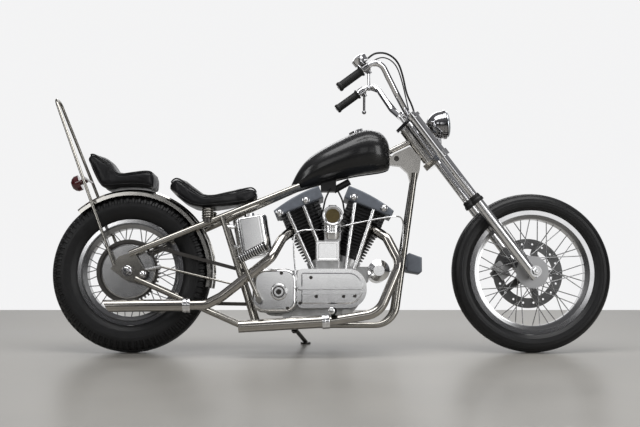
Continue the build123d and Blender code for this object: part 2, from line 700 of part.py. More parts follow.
# Rear fender: a rolled section with a raised rib, swept round the rear axle
FENDER_FRONT = -11.0
FENDER_REAR = 131.0
FENDER_CROWN = 341.0
FENDER_EDGE = 315.0
FENDER_HALF = 64.0
FENDER_SHEET = 3.0
FENDER_CORNER = 12.0
RIB_HALF = 8.0
RIB_RISE = 5.0
BRACE_X = 270.0
BRACE_Z = 610.0
BRACE_DIAMETER = 12.0
fender_turn = radians(FENDER_FRONT)
fender_plane = Plane(
    AXLE_PLANES["rear"].origin, x_dir=(0, 1, 0), z_dir=(sin(fender_turn), 0, -cos(fender_turn))
)
outer_half = [
    (RIB_HALF - FENDER_SHEET, FENDER_CROWN + RIB_RISE),
    (RIB_HALF, FENDER_CROWN),
    (FENDER_HALF - FENDER_CORNER, FENDER_CROWN - FENDER_SHEET),
    (FENDER_HALF, FENDER_CROWN - FENDER_CORNER),
    (FENDER_HALF, FENDER_EDGE),
]
inner_half = [
    (FENDER_HALF - FENDER_SHEET, FENDER_EDGE),
    (FENDER_HALF - FENDER_SHEET, FENDER_CROWN - FENDER_CORNER - FENDER_SHEET),
    (FENDER_HALF - FENDER_CORNER - FENDER_SHEET, FENDER_CROWN - 2 * FENDER_SHEET),
]
half_section = outer_half + inner_half


def sissy_point(z):
    """The point on the left leg of the sissy bar at a given height, below its first bend."""
    low, high = half_sissy[0], half_sissy[1]
    return low + (high - low) * ((z - low.Z) / (high.Z - low.Z))


with BuildPart() as fender:
    with BuildSketch(fender_plane):
        with BuildLine():
            Polyline(*half_section, *[(-y, r) for y, r in half_section[::-1]], close=True)
        make_face()
    revolve(axis=Axis(fender_plane.origin, (0, -1, 0)), revolution_arc=FENDER_REAR - FENDER_FRONT)
    for brace_end in (stay_point(BRACE_X, 1), sissy_point(BRACE_Z)):
        for side in SIDES:
            inner_end = Vector(brace_end.X, FENDER_HALF - FENDER_SHEET / 2, brace_end.Z)
            rod(on_side(brace_end, side), on_side(inner_end, side), BRACE_DIAMETER)
    add(upper_stays.part, mode=Mode.SUBTRACT)
    add(sissy_bar.part, mode=Mode.SUBTRACT)
pieces["fender"] = fender
fender_top = FENDER_CROWN + RIB_RISE

# Tail lamp on a cross strap between the legs of the sissy bar
TAIL_LAMP_ALONG = 0.05
TAIL_LAMP_RADIUS = 33.0
TAIL_LAMP_DEPTH = 37.0
STRAP_DIAMETER = 10.0
LAMP_STUB = 30.0
STUB_DIAMETER = 22.0
leg_low, leg_high = half_sissy[1], half_sissy[2]
strap_end = leg_low + (leg_high - leg_low) * TAIL_LAMP_ALONG
leg_run = Vector(leg_high.X - leg_low.X, 0, leg_high.Z - leg_low.Z).normalized()
lamp_ahead = Vector(0, 1, 0).cross(leg_run)
lamp_seat = Vector(strap_end.X, 0, strap_end.Z)
with BuildPart() as tail_lamp:
    rod(on_side(strap_end, -1), on_side(strap_end, 1), STRAP_DIAMETER)
    lamp_base = lamp_seat - lamp_ahead * LAMP_STUB
    rod(lamp_seat, lamp_base, STUB_DIAMETER)
    turned(
        Plane(lamp_base, x_dir=-lamp_ahead, z_dir=(0, 1, 0)),
        [
            (0, 0),
            (0, TAIL_LAMP_RADIUS),
            (TAIL_LAMP_DEPTH / 2, TAIL_LAMP_RADIUS),
            (TAIL_LAMP_DEPTH * 0.8, TAIL_LAMP_RADIUS * 0.8),
            (TAIL_LAMP_DEPTH, TAIL_LAMP_RADIUS / 2),
            (TAIL_LAMP_DEPTH, 0),
        ],
    )
    add(sissy_bar.part, mode=Mode.SUBTRACT)
pieces["tail_lamp"] = tail_lamp

# Seats: a sprung solo saddle and a passenger pad with a kicked-up back
SEAT_CORNER = 8.0
PLAN_CORNER = 24.0
SADDLE_HALF = 120.0
SADDLE_NOSE_HALF = 48.0
PAD_HALF = 105.0
PAD_TAIL_HALF = 80.0
saddle_outline = [
    (157, 676), (181, 718), (212, 713), (294, 643), (340, 643), (492, 684), (515, 651), (473, 612), (302, 588), (255, 591),
]
saddle_plan = [(150, 0), (165, 90), (230, SADDLE_HALF), (330, SADDLE_HALF), (430, 78), (500, SADDLE_NOSE_HALF), (518, 0)]
pad_outline = [
    (-97, 640), (92, 640), (89, 745), (66, 748), (-33, 733), (-56, 737), (-89, 786), (-130, 813), (-162, 823),
    (-179, 798), (-152, 731), (-122, 667),
]
pad_plan = [(-182, 0), (-176, 66), (-150, PAD_TAIL_HALF), (-60, PAD_HALF), (60, PAD_HALF), (88, PAD_TAIL_HALF), (94, 0)]
PLAN_HEIGHT = 1000.0


def keep_plan(half_plan):
    """Keep only what lies over a top view given by its left half."""
    with BuildSketch() as plan:
        with BuildLine():
            Polyline(*half_plan, *[(x, -y) for x, y in half_plan[-2:0:-1]], close=True)
        make_face()
        fillet(plan.vertices(), PLAN_CORNER)
    extrude(plan.sketch, amount=PLAN_HEIGHT, mode=Mode.INTERSECT)


with BuildPart() as solo_seat:
    plate(saddle_outline, 0, 2 * SADDLE_HALF, corner=SEAT_CORNER)
    keep_plan(saddle_plan)
pieces["solo_seat"] = solo_seat

with BuildPart() as passenger_seat:
    plate(pad_outline, 0, 2 * PAD_HALF, corner=SEAT_CORNER)
    keep_plan(pad_plan)
    with Locations(Plane(AXLE_PLANES["rear"].origin, z_dir=(0, 1, 0)).location):
        Cylinder(fender_top + SEAT_GAP, 2 * PAD_HALF, mode=Mode.SUBTRACT)
pieces["passenger_seat"] = passenger_seat

# Saddle springs on the upper stays, and the hinge under the saddle's nose
SPRING_X = 316.0
SPRING_TOP = 588.0
SPRING_RADIUS = 19.0
SPRING_WIRE = 7.0
SPRING_COILS = 5
HINGE_X = 500.0
HINGE_DIAMETER = 18.0
HINGE_TAB = 26.0
with BuildPart() as seat_mounts:
    for side in SIDES:
        foot = stay_point(SPRING_X, side)
        rod(foot, (foot.X, foot.Y, SPRING_TOP - SEAT_GAP), 2 * SPRING_RADIUS)
        coil_bottom = foot.Z + UPPER_STAY_DIAMETER / 2 + SPRING_WIRE
        coil_pitch = (SPRING_TOP - SPRING_WIRE - coil_bottom) / (SPRING_COILS - 1)
        with Locations(*[(foot.X, foot.Y, coil_bottom + coil_pitch * n) for n in range(SPRING_COILS)]):
            Torus(SPRING_RADIUS, SPRING_WIRE / 2)
    hinge_ends = [stay_point(HINGE_X, side) for side in SIDES]
    rod(hinge_ends[0], hinge_ends[1], HINGE_DIAMETER)
    hinge_foot = Vector(HINGE_X, 0, hinge_ends[0].Z)
    rod(hinge_foot, hinge_foot + Vector(0, 0, 2 * HINGE_TAB), HINGE_TAB)
    add(upper_stays.part, mode=Mode.SUBTRACT)
    add(solo_seat.part, mode=Mode.SUBTRACT)
pieces["seat_mounts"] = seat_mounts

# Fuel tank: rounded sections lofted along the backbone, with a tunnel for the tube
TankSection = namedtuple("TankSection", "x bottom top half")
tank_sections = [
    TankSection(652, 668, 684, 10),
    TankSection(700, 676, 773, 42),
    TankSection(799, 698, 851, 80),
    TankSection(900, 724, 901, 100),
    TankSection(985, 738, 921, 105),
    TankSection(1036, 746, 902, 88),
    TankSection(1064, 764, 836, 50),
]
TANK_ROUND = 0.47
CAP_X = 930.0
CAP_TILT = 20.0
CAP_DIAMETER = 62.0
CAP_HEIGHT = 16.0
CAP_SEAT_Z = 905.0
with BuildPart() as fuel_tank:
    for section in tank_sections:
        height = section.top - section.bottom
        middle = (section.top + section.bottom) / 2
        with BuildSketch(Plane((section.x, 0, middle), x_dir=(0, 1, 0), z_dir=(1, 0, 0))):
            RectangleRounded(2 * section.half, height, TANK_ROUND * min(2 * section.half, height))
    loft()
    tunnel_width = BACKBONE_DIAMETER + 2 * SEAT_GAP
    rod(BACKBONE_REAR, BACKBONE_FRONT, tunnel_width, mode=Mode.SUBTRACT)
    tunnel_ends = [(BACKBONE_REAR[0], BACKBONE_REAR[2]), (BACKBONE_FRONT[0], BACKBONE_FRONT[2])]
    plate(tunnel_ends + [(BACKBONE_FRONT[0], 0), (BACKBONE_REAR[0], 0)], 0, tunnel_width, mode=Mode.SUBTRACT)
    add(neck.part, mode=Mode.SUBTRACT)
    add(upper_stays.part, mode=Mode.SUBTRACT)
pieces["fuel_tank"] = fuel_tank

with BuildPart() as tank_cap:
    cap_axis = Vector(-sin(radians(CAP_TILT)), 0, cos(radians(CAP_TILT)))
    cap_seat = Vector(CAP_X, 0, CAP_SEAT_Z)
    rod(cap_seat - cap_axis * CAP_HEIGHT, cap_seat + cap_axis * CAP_HEIGHT, CAP_DIAMETER)
    add(fuel_tank.part, mode=Mode.SUBTRACT)
pieces["tank_cap"] = tank_cap

# Engine: crankcase with gearbox, two finned cylinders in a narrow V, and covers on both sides
CRANK_X = 831.0
CRANK_Z = 255.0
V_HALF = 22.5
CASE_RADIUS = 118.0
CASE_RIGHT = -66.0
CASE_LEFT = 100.0
GEARBOX_REAR = 548.0
GEARBOX_BOTTOM = 150.0
GEARBOX_TOP = 332.0
SPIGOT_RADIUS = 62.0
DECK = 143.0
BARREL_TOP = 262.0
BARREL_CORE = 56.0
BARREL_FINS = 9
BARREL_FIN_LOW = 66.0
BARREL_FIN_HIGH = 80.0
HEAD_TOP = 360.0
HEAD_FINS = 7
HEAD_LENGTH = 168.0
HEAD_WIDTH = 150.0
HEAD_CORE = 120.0
FIN_THICKNESS = 4.0
ROCKER_HEIGHT = 52.0
ROCKER_TIP = 27.0
ROCKER_ROUND = 7.0
ROCKER_LENGTH = 208.0
ROCKER_RIGHT = -112.0
ROCKER_LEFT = 74.0
CYLINDER_GAP = 1.0
NOSE_X = 972.0
NOSE_Z = 318.0
NOSE_HEIGHT = 60.0
FOOT_PLACES = [640.0, 880.0]
FOOT_LENGTH = 30.0
FOOT_TOP = 176.0


def cylinder_plane(lean_side):
    """Origin at the crank, z up one cylinder's axis, y to the left."""
    angle = radians(lean_side * V_HALF)
    return Plane((CRANK_X, 0, CRANK_Z), x_dir=(cos(angle), 0, -sin(angle)), z_dir=(sin(angle), 0, cos(angle)))


with BuildPart() as crankcase:
    with BuildSketch(Plane.XZ.offset(-CASE_LEFT)):
        with Locations((CRANK_X, CRANK_Z)):
            Circle(CASE_RADIUS)
        with Locations(((GEARBOX_REAR + CRANK_X) / 2, (GEARBOX_TOP + GEARBOX_BOTTOM) / 2)):
            RectangleRounded(CRANK_X - GEARBOX_REAR, GEARBOX_TOP - GEARBOX_BOTTOM, SPIGOT_RADIUS / 2)
        with Locations(((CRANK_X + NOSE_X) / 2, NOSE_Z)):
            Rectangle(NOSE_X - CRANK_X, NOSE_HEIGHT)
    extrude(amount=CASE_LEFT - CASE_RIGHT)
    for lean_side in SIDES:
        with Locations(cylinder_plane(lean_side).location):
            Cylinder(SPIGOT_RADIUS, DECK, align=ALONG)
    for foot_x in FOOT_PLACES:
        with Locations((foot_x, 0, RAIL_REAR.Z)):
            Box(FOOT_LENGTH, 2 * CASE_LEFT, FOOT_TOP - RAIL_REAR.Z, align=ALONG)
    add(rails.part, mode=Mode.SUBTRACT)
pieces["crankcase"] = crankcase

for lean_side, name in zip(SIDES, ("rear_cylinder", "front_cylinder")):
    axis_plane = cylinder_plane(lean_side)
    with BuildPart() as cylinder:
        fin_pitch = (BARREL_TOP - DECK) / BARREL_FINS
        comb = [(DECK, 0), (DECK, BARREL_CORE)]
        for number in range(BARREL_FINS):
            fin_start = DECK + fin_pitch * (number + 1) - FIN_THICKNESS
            fin_radius = BARREL_FIN_LOW + (BARREL_FIN_HIGH - BARREL_FIN_LOW) * number / (BARREL_FINS - 1)
            comb += [(fin_start, BARREL_CORE), (fin_start, fin_radius)]
            comb += [(fin_start + FIN_THICKNESS, fin_radius), (fin_start + FIN_THICKNESS, BARREL_CORE)]
        comb += [(BARREL_TOP, 0)]
        turned(Plane(axis_plane.origin, x_dir=axis_plane.z_dir, z_dir=(0, 1, 0)), comb)
        with BuildSketch(axis_plane.offset(BARREL_TOP)):
            RectangleRounded(HEAD_CORE, HEAD_CORE, HEAD_CORE / 6)
        extrude(amount=HEAD_TOP - BARREL_TOP)
        head_pitch = (HEAD_TOP - BARREL_TOP) / HEAD_FINS
        for number in range(HEAD_FINS):
            with BuildSketch(axis_plane.offset(BARREL_TOP + head_pitch * (number + 1) - FIN_THICKNESS)):
                RectangleRounded(HEAD_LENGTH, HEAD_WIDTH, HEAD_CORE / 4)
            extrude(amount=FIN_THICKNESS)
        keep_x = CRANK_X + lean_side * (CYLINDER_GAP + PLAN_HEIGHT / 2)
        with Locations((keep_x, 0, CRANK_Z + PLAN_HEIGHT / 2)):
            Box(PLAN_HEIGHT, PLAN_HEIGHT, PLAN_HEIGHT, mode=Mode.INTERSECT)
        add(crankcase.part, mode=Mode.SUBTRACT)
    pieces[name] = cylinder

with BuildPart() as rocker_boxes:
    for lean_side in SIDES:
        outer_end = lean_side * ROCKER_LENGTH / 2
        crown = (outer_end / 4, HEAD_TOP + ROCKER_HEIGHT - ROCKER_ROUND)
        tip = (outer_end, HEAD_TOP + ROCKER_TIP)
        peak = (-outer_end, HEAD_TOP + ROCKER_HEIGHT)
        side_origin = Vector(CRANK_X, ROCKER_LEFT, CRANK_Z)
        with BuildSketch(Plane(side_origin, x_dir=cylinder_plane(lean_side).x_dir, z_dir=(0, -1, 0))):
            with BuildLine():
                ThreePointArc(tip, crown, peak)
                Polyline(peak, (-outer_end, HEAD_TOP), (outer_end, HEAD_TOP), tip)
            make_face()
        extrude(amount=ROCKER_LEFT - ROCKER_RIGHT)
    for end_face in (0, -1):
        fillet(rocker_boxes.faces().filter_by(Axis.Y).group_by(Axis.Y)[end_face].edges(), ROCKER_ROUND)
pieces["rocker_boxes"] = rocker_boxes

# Right-hand covers: the timing cover, with two ridges, and the sprocket cover with its boss
CAM_REAR = 684.0
CAM_FRONT = 962.0
CAM_BOTTOM = 179.0
CAM_TOP = 336.0
CAM_STEP = 132.0
CAM_FACE = 150.0
CAM_NOSE = 74.0
CAM_CORNER = 22.0
CAM_INSET = 16.0
RIDGES = [258.0, 235.0]
RIDGE_HEIGHT = 8.0
RIDGE_RISE = 6.0
KICK_X = 535.0
KICK_Z = 210.0
SPROCKET_COVER_REAR = 505.0
SPROCKET_COVER_BOTTOM = 160.0
SPROCKET_COVER_INNER = 118.0
COVER_ROUND = 48.0
BOSS_X = 611.0
BOSS_Z = 243.0
BOSS_RADIUS = 27.0
BOSS_RISE = 12.0
BOSS_BORE = 11.0
SHAFT_BOSS_RADIUS = 25.0
cam_length = CAM_FRONT - CAM_REAR
cam_height = CAM_TOP - CAM_BOTTOM
cam_middle = ((CAM_FRONT + CAM_REAR) / 2, (CAM_TOP + CAM_BOTTOM) / 2)


def add_bullet(start, amount, inset, taper):
    """Add one step of the timing cover: square at the back, round at the nose, drawn in by an inset."""
    with BuildSketch(Plane.XZ.offset(start)) as bullet:
        with Locations(cam_middle):
            Rectangle(cam_length - 2 * inset, cam_height - 2 * inset)
        fillet(bullet.vertices().group_by(Axis.X)[-1], CAM_NOSE - inset)
        fillet(bullet.vertices().group_by(Axis.X)[0], CAM_CORNER - inset)
    extrude(bullet.sketch, amount=amount, taper=taper)


with BuildPart() as cam_cover:
    add_bullet(-CASE_RIGHT, CAM_STEP + CASE_RIGHT, 0, 0)
    add_bullet(CAM_STEP, CAM_FACE - CAM_STEP, CAM_INSET, CAM_INSET)
    for ridge_z in RIDGES:
        with Locations((cam_middle[0], -CAM_FACE, ridge_z)):
            Box(cam_length - 6 * CAM_INSET, 2 * RIDGE_RISE, RIDGE_HEIGHT)
pieces["cam_cover"] = cam_cover

cover_length = CAM_REAR - SPROCKET_COVER_REAR
cover_height = CAM_TOP - SPROCKET_COVER_BOTTOM
with BuildPart() as sprocket_cover:
    with BuildSketch(Plane.XZ.offset(SPROCKET_COVER_INNER)):
        with Locations(((CAM_REAR + SPROCKET_COVER_REAR) / 2, (CAM_TOP + SPROCKET_COVER_BOTTOM) / 2)):
            RectangleRounded(cover_length, cover_height, COVER_ROUND)
    extrude(amount=CAM_FACE - SPROCKET_COVER_INNER)
    fillet(sprocket_cover.faces().sort_by(Axis.Y)[0].edges(), CAM_INSET)
    boss_face = Vector(BOSS_X, -CAM_FACE - BOSS_RISE, BOSS_Z)
    rod((BOSS_X, -SPROCKET_COVER_INNER, BOSS_Z), boss_face, 2 * BOSS_RADIUS)
    rod((BOSS_X, -CAM_FACE, BOSS_Z), boss_face, 2 * BOSS_BORE, mode=Mode.SUBTRACT)
    rod((KICK_X, -SPROCKET_COVER_INNER, KICK_Z), (KICK_X, -CAM_FACE, KICK_Z), 2 * SHAFT_BOSS_RADIUS)
    add(cam_cover.part, mode=Mode.SUBTRACT)
pieces["sprocket_cover"] = sprocket_cover

# Left-hand primary cover over the crank and the clutch
PRIMARY_FRONT_RADIUS = 104.0
PRIMARY_REAR_RADIUS = 84.0
CLUTCH_X = 580.0
CLUTCH_Z = 250.0
PRIMARY_FACE = 160.0
PRIMARY_ROUND = 14.0
with BuildPart() as primary_cover:
    with BuildSketch(Plane.XZ.offset(-PRIMARY_FACE)):
        with Locations((CRANK_X, CRANK_Z)):
            Circle(PRIMARY_FRONT_RADIUS)
        with Locations((CLUTCH_X, CLUTCH_Z)):
            Circle(PRIMARY_REAR_RADIUS)
        make_hull()
    extrude(amount=PRIMARY_FACE - CASE_LEFT)
    fillet(primary_cover.faces().sort_by(Axis.Y)[-1].edges(), PRIMARY_ROUND)
pieces["primary_cover"] = primary_cover

# Pushrod tubes on the right, tappet block between the cylinders, carburettor and generator
PUSHROD_Y = -98.0
PUSHROD_DIAMETER = 17.0
Pushrod = namedtuple("Pushrod", "top_x top_z foot_x foot_z")
pushrod_table = [
    Pushrod(645, 568, 748, 338),
    Pushrod(706, 600, 772, 430),
    Pushrod(918, 606, 878, 338),
    Pushrod(993, 580, 914, 338),
]
TAPPET_REAR = 757.0
TAPPET_FRONT = 856.0
TAPPET_TOP = 450.0
TAPPET_OUTER = 124.0
TAPPET_INNER = 84.0
with BuildPart() as tappet_block:
    with Locations(((TAPPET_REAR + TAPPET_FRONT) / 2, 0, CAM_TOP)):
        with Locations((0, -(TAPPET_OUTER + TAPPET_INNER) / 2, 0)):
            Box(TAPPET_FRONT - TAPPET_REAR, TAPPET_OUTER - TAPPET_INNER, TAPPET_TOP - CAM_TOP, align=ALONG)
    fillet(tappet_block.edges().filter_by(Axis.Z), CAM_INSET / 2)
    for name in ("rear_cylinder", "front_cylinder"):
        add(pieces[name].part, mode=Mode.SUBTRACT)
pieces["tappet_block"] = tappet_block

with BuildPart() as pushrods:
    for tube in pushrod_table:
        rod((tube.top_x, PUSHROD_Y, tube.top_z), (tube.foot_x, PUSHROD_Y, tube.foot_z), PUSHROD_DIAMETER)
    for neighbour in (rocker_boxes, cam_cover, tappet_block, pieces["rear_cylinder"], pieces["front_cylinder"]):
        add(neighbour.part, mode=Mode.SUBTRACT)
pieces["pushrods"] = pushrods

CARB_X = 826.0
CARB_Z = 547.0
BELL_RADIUS = 33.0
BELL_BORE = 25.0
BELL_FACE = 158.0
BELL_DEPTH = 30.0
CARB_BODY = 100.0
BOWL_LENGTH = 66.0
BOWL_WIDTH = 40.0
DOME_RADIUS = 16.0
DOME_TOP = 596.0
MANIFOLD_DIAMETER = 40.0
MANIFOLD_HALF = 31.0
with BuildPart() as carburettor:
    rod((CRANK_X - MANIFOLD_HALF, 0, CARB_Z), (CRANK_X + MANIFOLD_HALF, 0, CARB_Z), MANIFOLD_DIAMETER)
    rod((CARB_X, 0, CARB_Z), (CARB_X, -BELL_FACE, CARB_Z), 2 * BELL_BORE)
    rod((CARB_X, BELL_DEPTH - BELL_FACE, CARB_Z), (CARB_X, -BELL_FACE, CARB_Z), 2 * BELL_RADIUS)
    with Locations((CARB_X, -CARB_BODY, CARB_Z)):
        Box(2 * BELL_BORE, CARB_BODY / 2, 2 * BELL_RADIUS)
    with Locations((CARB_X, -(TAPPET_OUTER + TAPPET_INNER) / 2, TAPPET_TOP)):
        Box(BOWL_LENGTH, BOWL_WIDTH, CARB_Z - TAPPET_TOP, align=ALONG)
    rod((CARB_X, -CARB_BODY, CARB_Z), (CARB_X, -CARB_BODY, DOME_TOP), 2 * DOME_RADIUS)
    rod((CARB_X, BELL_DEPTH - BELL_FACE, CARB_Z), (CARB_X, -BELL_FACE, CARB_Z), 2 * BELL_BORE, Mode.SUBTRACT)
    for neighbour in (pieces["rear_cylinder"], pieces["front_cylinder"], rocker_boxes, pushrods):
        add(neighbour.part, mode=Mode.SUBTRACT)
pieces["carburettor"] = carburettor

GENERATOR_X = 1012.0
GENERATOR_Z = 330.0
GENERATOR_RADIUS = 44.0
GENERATOR_RIGHT = 112.0
GENERATOR_LEFT = 60.0
DOME_RISE = 16.0
with BuildPart() as generator:
    turned(
        cross_plane(GENERATOR_X, GENERATOR_Z),
        [
            (-GENERATOR_RIGHT - DOME_RISE, 0),
            (-GENERATOR_RIGHT - DOME_RISE, GENERATOR_RADIUS / 2),
            (-GENERATOR_RIGHT, GENERATOR_RADIUS),
            (GENERATOR_LEFT, GENERATOR_RADIUS),
            (GENERATOR_LEFT, 0),
        ],
    )
    add(crankcase.part, mode=Mode.SUBTRACT)
pieces["generator"] = generator

# Exhaust: one bent pipe from each head into its own muffler along the right side
PIPE_DIAMETER = 39.0
MUFFLER_DIAMETER = 48.0
CLAMP_LENGTH = 28.0
CLAMP_RISE = 4.0
TAIL_DEPTH = 70.0
TAIL_SLANT = 42.0
rear_pipe_route = [(665, -62, 500), (622, -122, 458), (580, -176, 376), (385, -178, 222), (325, -178, 192), (262, -178, 190)]
rear_pipe_bends = [50.0, 60.0, 90.0, 60.0]
rear_muffler_end = Vector(-84, -182, 186)
front_pipe_route = [(985, -62, 508), (1044, -118, 462), (1094, -160, 356), (1008, -180, 158), (812, -180, 126)]
front_pipe_bends = [40.0, 70.0, 90.0]
front_muffler_end = Vector(454, -184, 105)
heads = (pieces["rear_cylinder"], pieces["front_cylinder"])


def add_muffler(start, end):
    """Add a plain tube with a clamp band round its front end and a rolled-in tail."""
    run = end - start
    axis_plane = Plane(start, x_dir=run, z_dir=run.cross(Vector(0, 0, 1)))
    length = run.length
    radius = MUFFLER_DIAMETER / 2
    turned(
        axis_plane,
        [
            (0, 0),
            (0, radius + CLAMP_RISE),
            (CLAMP_LENGTH, radius + CLAMP_RISE),
            (CLAMP_LENGTH, radius),
            (length, radius),
            (length, radius - CLAMP_RISE),
            (length - TAIL_DEPTH, radius - CLAMP_RISE),
            (length - TAIL_DEPTH, 0),
        ],
    )


with BuildPart() as exhaust_pipes:
    bent_tube(rear_pipe_route, PIPE_DIAMETER, rear_pipe_bends)
    bent_tube(front_pipe_route, PIPE_DIAMETER, front_pipe_bends)
    for neighbour in heads:
        add(neighbour.part, mode=Mode.SUBTRACT)
pieces["exhaust_pipes"] = exhaust_pipes

with BuildPart() as mufflers:
    add_muffler(Vector(*rear_pipe_route[-1]), rear_muffler_end)
    add_muffler(Vector(*front_pipe_route[-1]), front_muffler_end)
    tail_top = (rear_muffler_end.X, rear_muffler_end.Z + MUFFLER_DIAMETER / 2)
    tail_foot = (rear_muffler_end.X + TAIL_SLANT, rear_muffler_end.Z - MUFFLER_DIAMETER)
    tail_back = (rear_muffler_end.X - TAIL_SLANT, tail_foot[1])
    plate([tail_top, tail_foot, tail_back], rear_muffler_end.Y, 2 * MUFFLER_DIAMETER, mode=Mode.SUBTRACT)
    add(exhaust_pipes.part, mode=Mode.SUBTRACT)
pieces["mufflers"] = mufflers

# Oil tank, leaning back in front of the seat posts, with a filler cap and two brackets
OIL_MIDDLE = Vector(500, -36, 470)
OIL_TILT = 10.0
OIL_LENGTH = 140.0
OIL_WIDTH = 124.0
OIL_HEIGHT = 166.0
OIL_ROUND = 34.0
OIL_CAP_DIAMETER = 42.0
OIL_CAP_HEIGHT = 16.0
BRACKET_DIAMETER = 16.0
BRACKET_HEIGHTS = [425.0, 510.0]
oil_tilt = radians(OIL_TILT)
oil_plane = Plane(OIL_MIDDLE, x_dir=(cos(oil_tilt), 0, sin(oil_tilt)), z_dir=(-sin(oil_tilt), 0, cos(oil_tilt)))
post_run = POST_FOOT - POST_TOP


def post_point(z, side):
    """The point on a seat post's centre line at a given height."""
    return on_side(POST_TOP + post_run * ((z - POST_TOP.Z) / post_run.Z), side)


with BuildPart() as oil_tank:
    with BuildSketch(oil_plane.offset(-OIL_HEIGHT / 2)):
        RectangleRounded(OIL_LENGTH, OIL_WIDTH, OIL_ROUND)
    extrude(amount=OIL_HEIGHT)
    fillet(oil_tank.edges().filter_by(GeomType.LINE, reverse=True), OIL_ROUND / 4)
    with BuildSketch(oil_plane.offset(OIL_HEIGHT / 2)):
        Circle(OIL_CAP_DIAMETER / 2)
    extrude(amount=OIL_CAP_HEIGHT)
    for bracket_z in BRACKET_HEIGHTS:
        bracket_end = post_point(bracket_z, -1)
        rod(bracket_end, (OIL_MIDDLE.X, OIL_MIDDLE.Y, bracket_z), BRACKET_DIAMETER)
    add(seat_posts.part, mode=Mode.SUBTRACT)
pieces["oil_tank"] = oil_tank

# Kick-starter on the sprocket cover, with its pedal folded back
KICK_Y = -210.0
KICK_SHAFT = 24.0
KICK_ARM = 15.0
KICK_PEDAL = 32.0
KICK_ELBOW = Vector(463, KICK_Y, 372)
KICK_PEDAL_END = Vector(562, KICK_Y, 424)
with BuildPart() as kick_starter:
    rod((KICK_X, -CAM_FACE, KICK_Z), (KICK_X, KICK_Y - KICK_ARM, KICK_Z), KICK_SHAFT)
    rod((KICK_X, KICK_Y, KICK_Z), KICK_ELBOW + Vector(0, 0, KICK_ARM / 3), KICK_ARM)
    pedal_run = (KICK_PEDAL_END - KICK_ELBOW).normalized()
    rod(KICK_ELBOW - pedal_run * KICK_ARM, KICK_PEDAL_END, KICK_PEDAL)
pieces["kick_starter"] = kick_starter

# Regulator on a strap across the downtubes, and the ignition coil under the backbone
REGULATOR_REAR = 1128.0
REGULATOR_BOTTOM = 320.0
REGULATOR_TOP = 407.0
REGULATOR_HALF = 44.0
regulator_outline = [
    (REGULATOR_REAR, 396), (1141, REGULATOR_TOP), (1193, 388), (1193, 330), (1182, REGULATOR_BOTTOM), (REGULATOR_REAR, 329),
]
STRAP_HALF = 82.0
STRAP_DEPTH = 26.0
STRAP_HEIGHT = 30.0
with BuildPart() as regulator:
    regulator_middle = (REGULATOR_BOTTOM + REGULATOR_TOP) / 2
    plate(regulator_outline, 0, 2 * REGULATOR_HALF)
    fillet(regulator.faces().filter_by(Axis.Y).edges(), REGULATOR_HALF / 6)
    with Locations((REGULATOR_REAR - STRAP_DEPTH / 2, 0, regulator_middle)):
        Box(STRAP_DEPTH, 2 * STRAP_HALF, STRAP_HEIGHT)
    add(downtubes.part, mode=Mode.SUBTRACT)
pieces["regulator"] = regulator

COIL_REAR = Vector(832, 0, 670)
COIL_FRONT = Vector(898, 0, 707)
COIL_DIAMETER = 28.0
COIL_BLOCK_REAR = 778.0
COIL_BLOCK_FRONT = 842.0
COIL_BLOCK_BOTTOM = 664.0
COIL_BLOCK_TOP = 712.0
COIL_BLOCK_HALF = 26.0
with BuildPart() as ignition_coil:
    with Locations(((COIL_BLOCK_REAR + COIL_BLOCK_FRONT) / 2, 0, COIL_BLOCK_BOTTOM)):
        Box(COIL_BLOCK_FRONT - COIL_BLOCK_REAR, 2 * COIL_BLOCK_HALF, COIL_BLOCK_TOP - COIL_BLOCK_BOTTOM, align=ALONG)
    rod(COIL_REAR, COIL_FRONT, COIL_DIAMETER)
    for neighbour in (fuel_tank, backbone, rocker_boxes):
        add(neighbour.part, mode=Mode.SUBTRACT)
pieces["ignition_coil"] = ignition_coil

# Foot pegs on stubs from the rails; the right one stands higher, over the muffler
PEG_X = 828.0
PEG_DIAMETER = 26.0
PEG_STUB = 16.0
PEG_INNER = 150.0
PEG_OUTER = 236.0
PEG_HEIGHTS = {-1: 166.0, 1: 128.0}
rail_run = RAIL_SPLIT - RAIL_REAR
with BuildPart() as foot_pegs:
    for side in SIDES:
        peg_root = on_side(RAIL_REAR + rail_run * ((PEG_X - RAIL_REAR.X) / rail_run.X), side)
        peg_inner = Vector(PEG_X, side * PEG_INNER, PEG_HEIGHTS[side])
        peg_elbow = peg_inner - Vector(0, side * PEG_STUB, 0)
        rod(peg_root, peg_elbow, PEG_STUB)
        rod(peg_elbow, peg_inner, PEG_STUB)
        rod(peg_inner, (PEG_X, side * PEG_OUTER, PEG_HEIGHTS[side]), PEG_DIAMETER)
    add(rails.part, mode=Mode.SUBTRACT)
pieces["foot_pegs"] = foot_pegs

# Drive sprocket and chain: two side plates with pins, which flank the rear sprocket without touching
DRIVE_X = 590.0
DRIVE_Z = 245.0
DRIVE_RADIUS = 51.0
DRIVE_SHAFT = 30.0
CHAIN_HALF = 7.0
CHAIN_GAP = 4.0
CHAIN_SIDE = 3.0
CHAIN_PIN_PITCH = 31.75
CHAIN_PIN_START = 62.0
sprocket_inner = SPROCKET_Y + SPROCKET_WIDTH / 2
sprocket_outer = SPROCKET_Y - SPROCKET_WIDTH / 2
with BuildPart() as drive_sprocket:
    rod((DRIVE_X, CASE_RIGHT, DRIVE_Z), (DRIVE_X, sprocket_outer - DRIVE_SHAFT / 3, DRIVE_Z), DRIVE_SHAFT)
    rod((DRIVE_X, sprocket_inner, DRIVE_Z), (DRIVE_X, sprocket_outer, DRIVE_Z), 2 * (DRIVE_RADIUS - ROLLER_RADIUS))
pieces["drive_sprocket"] = drive_sprocket

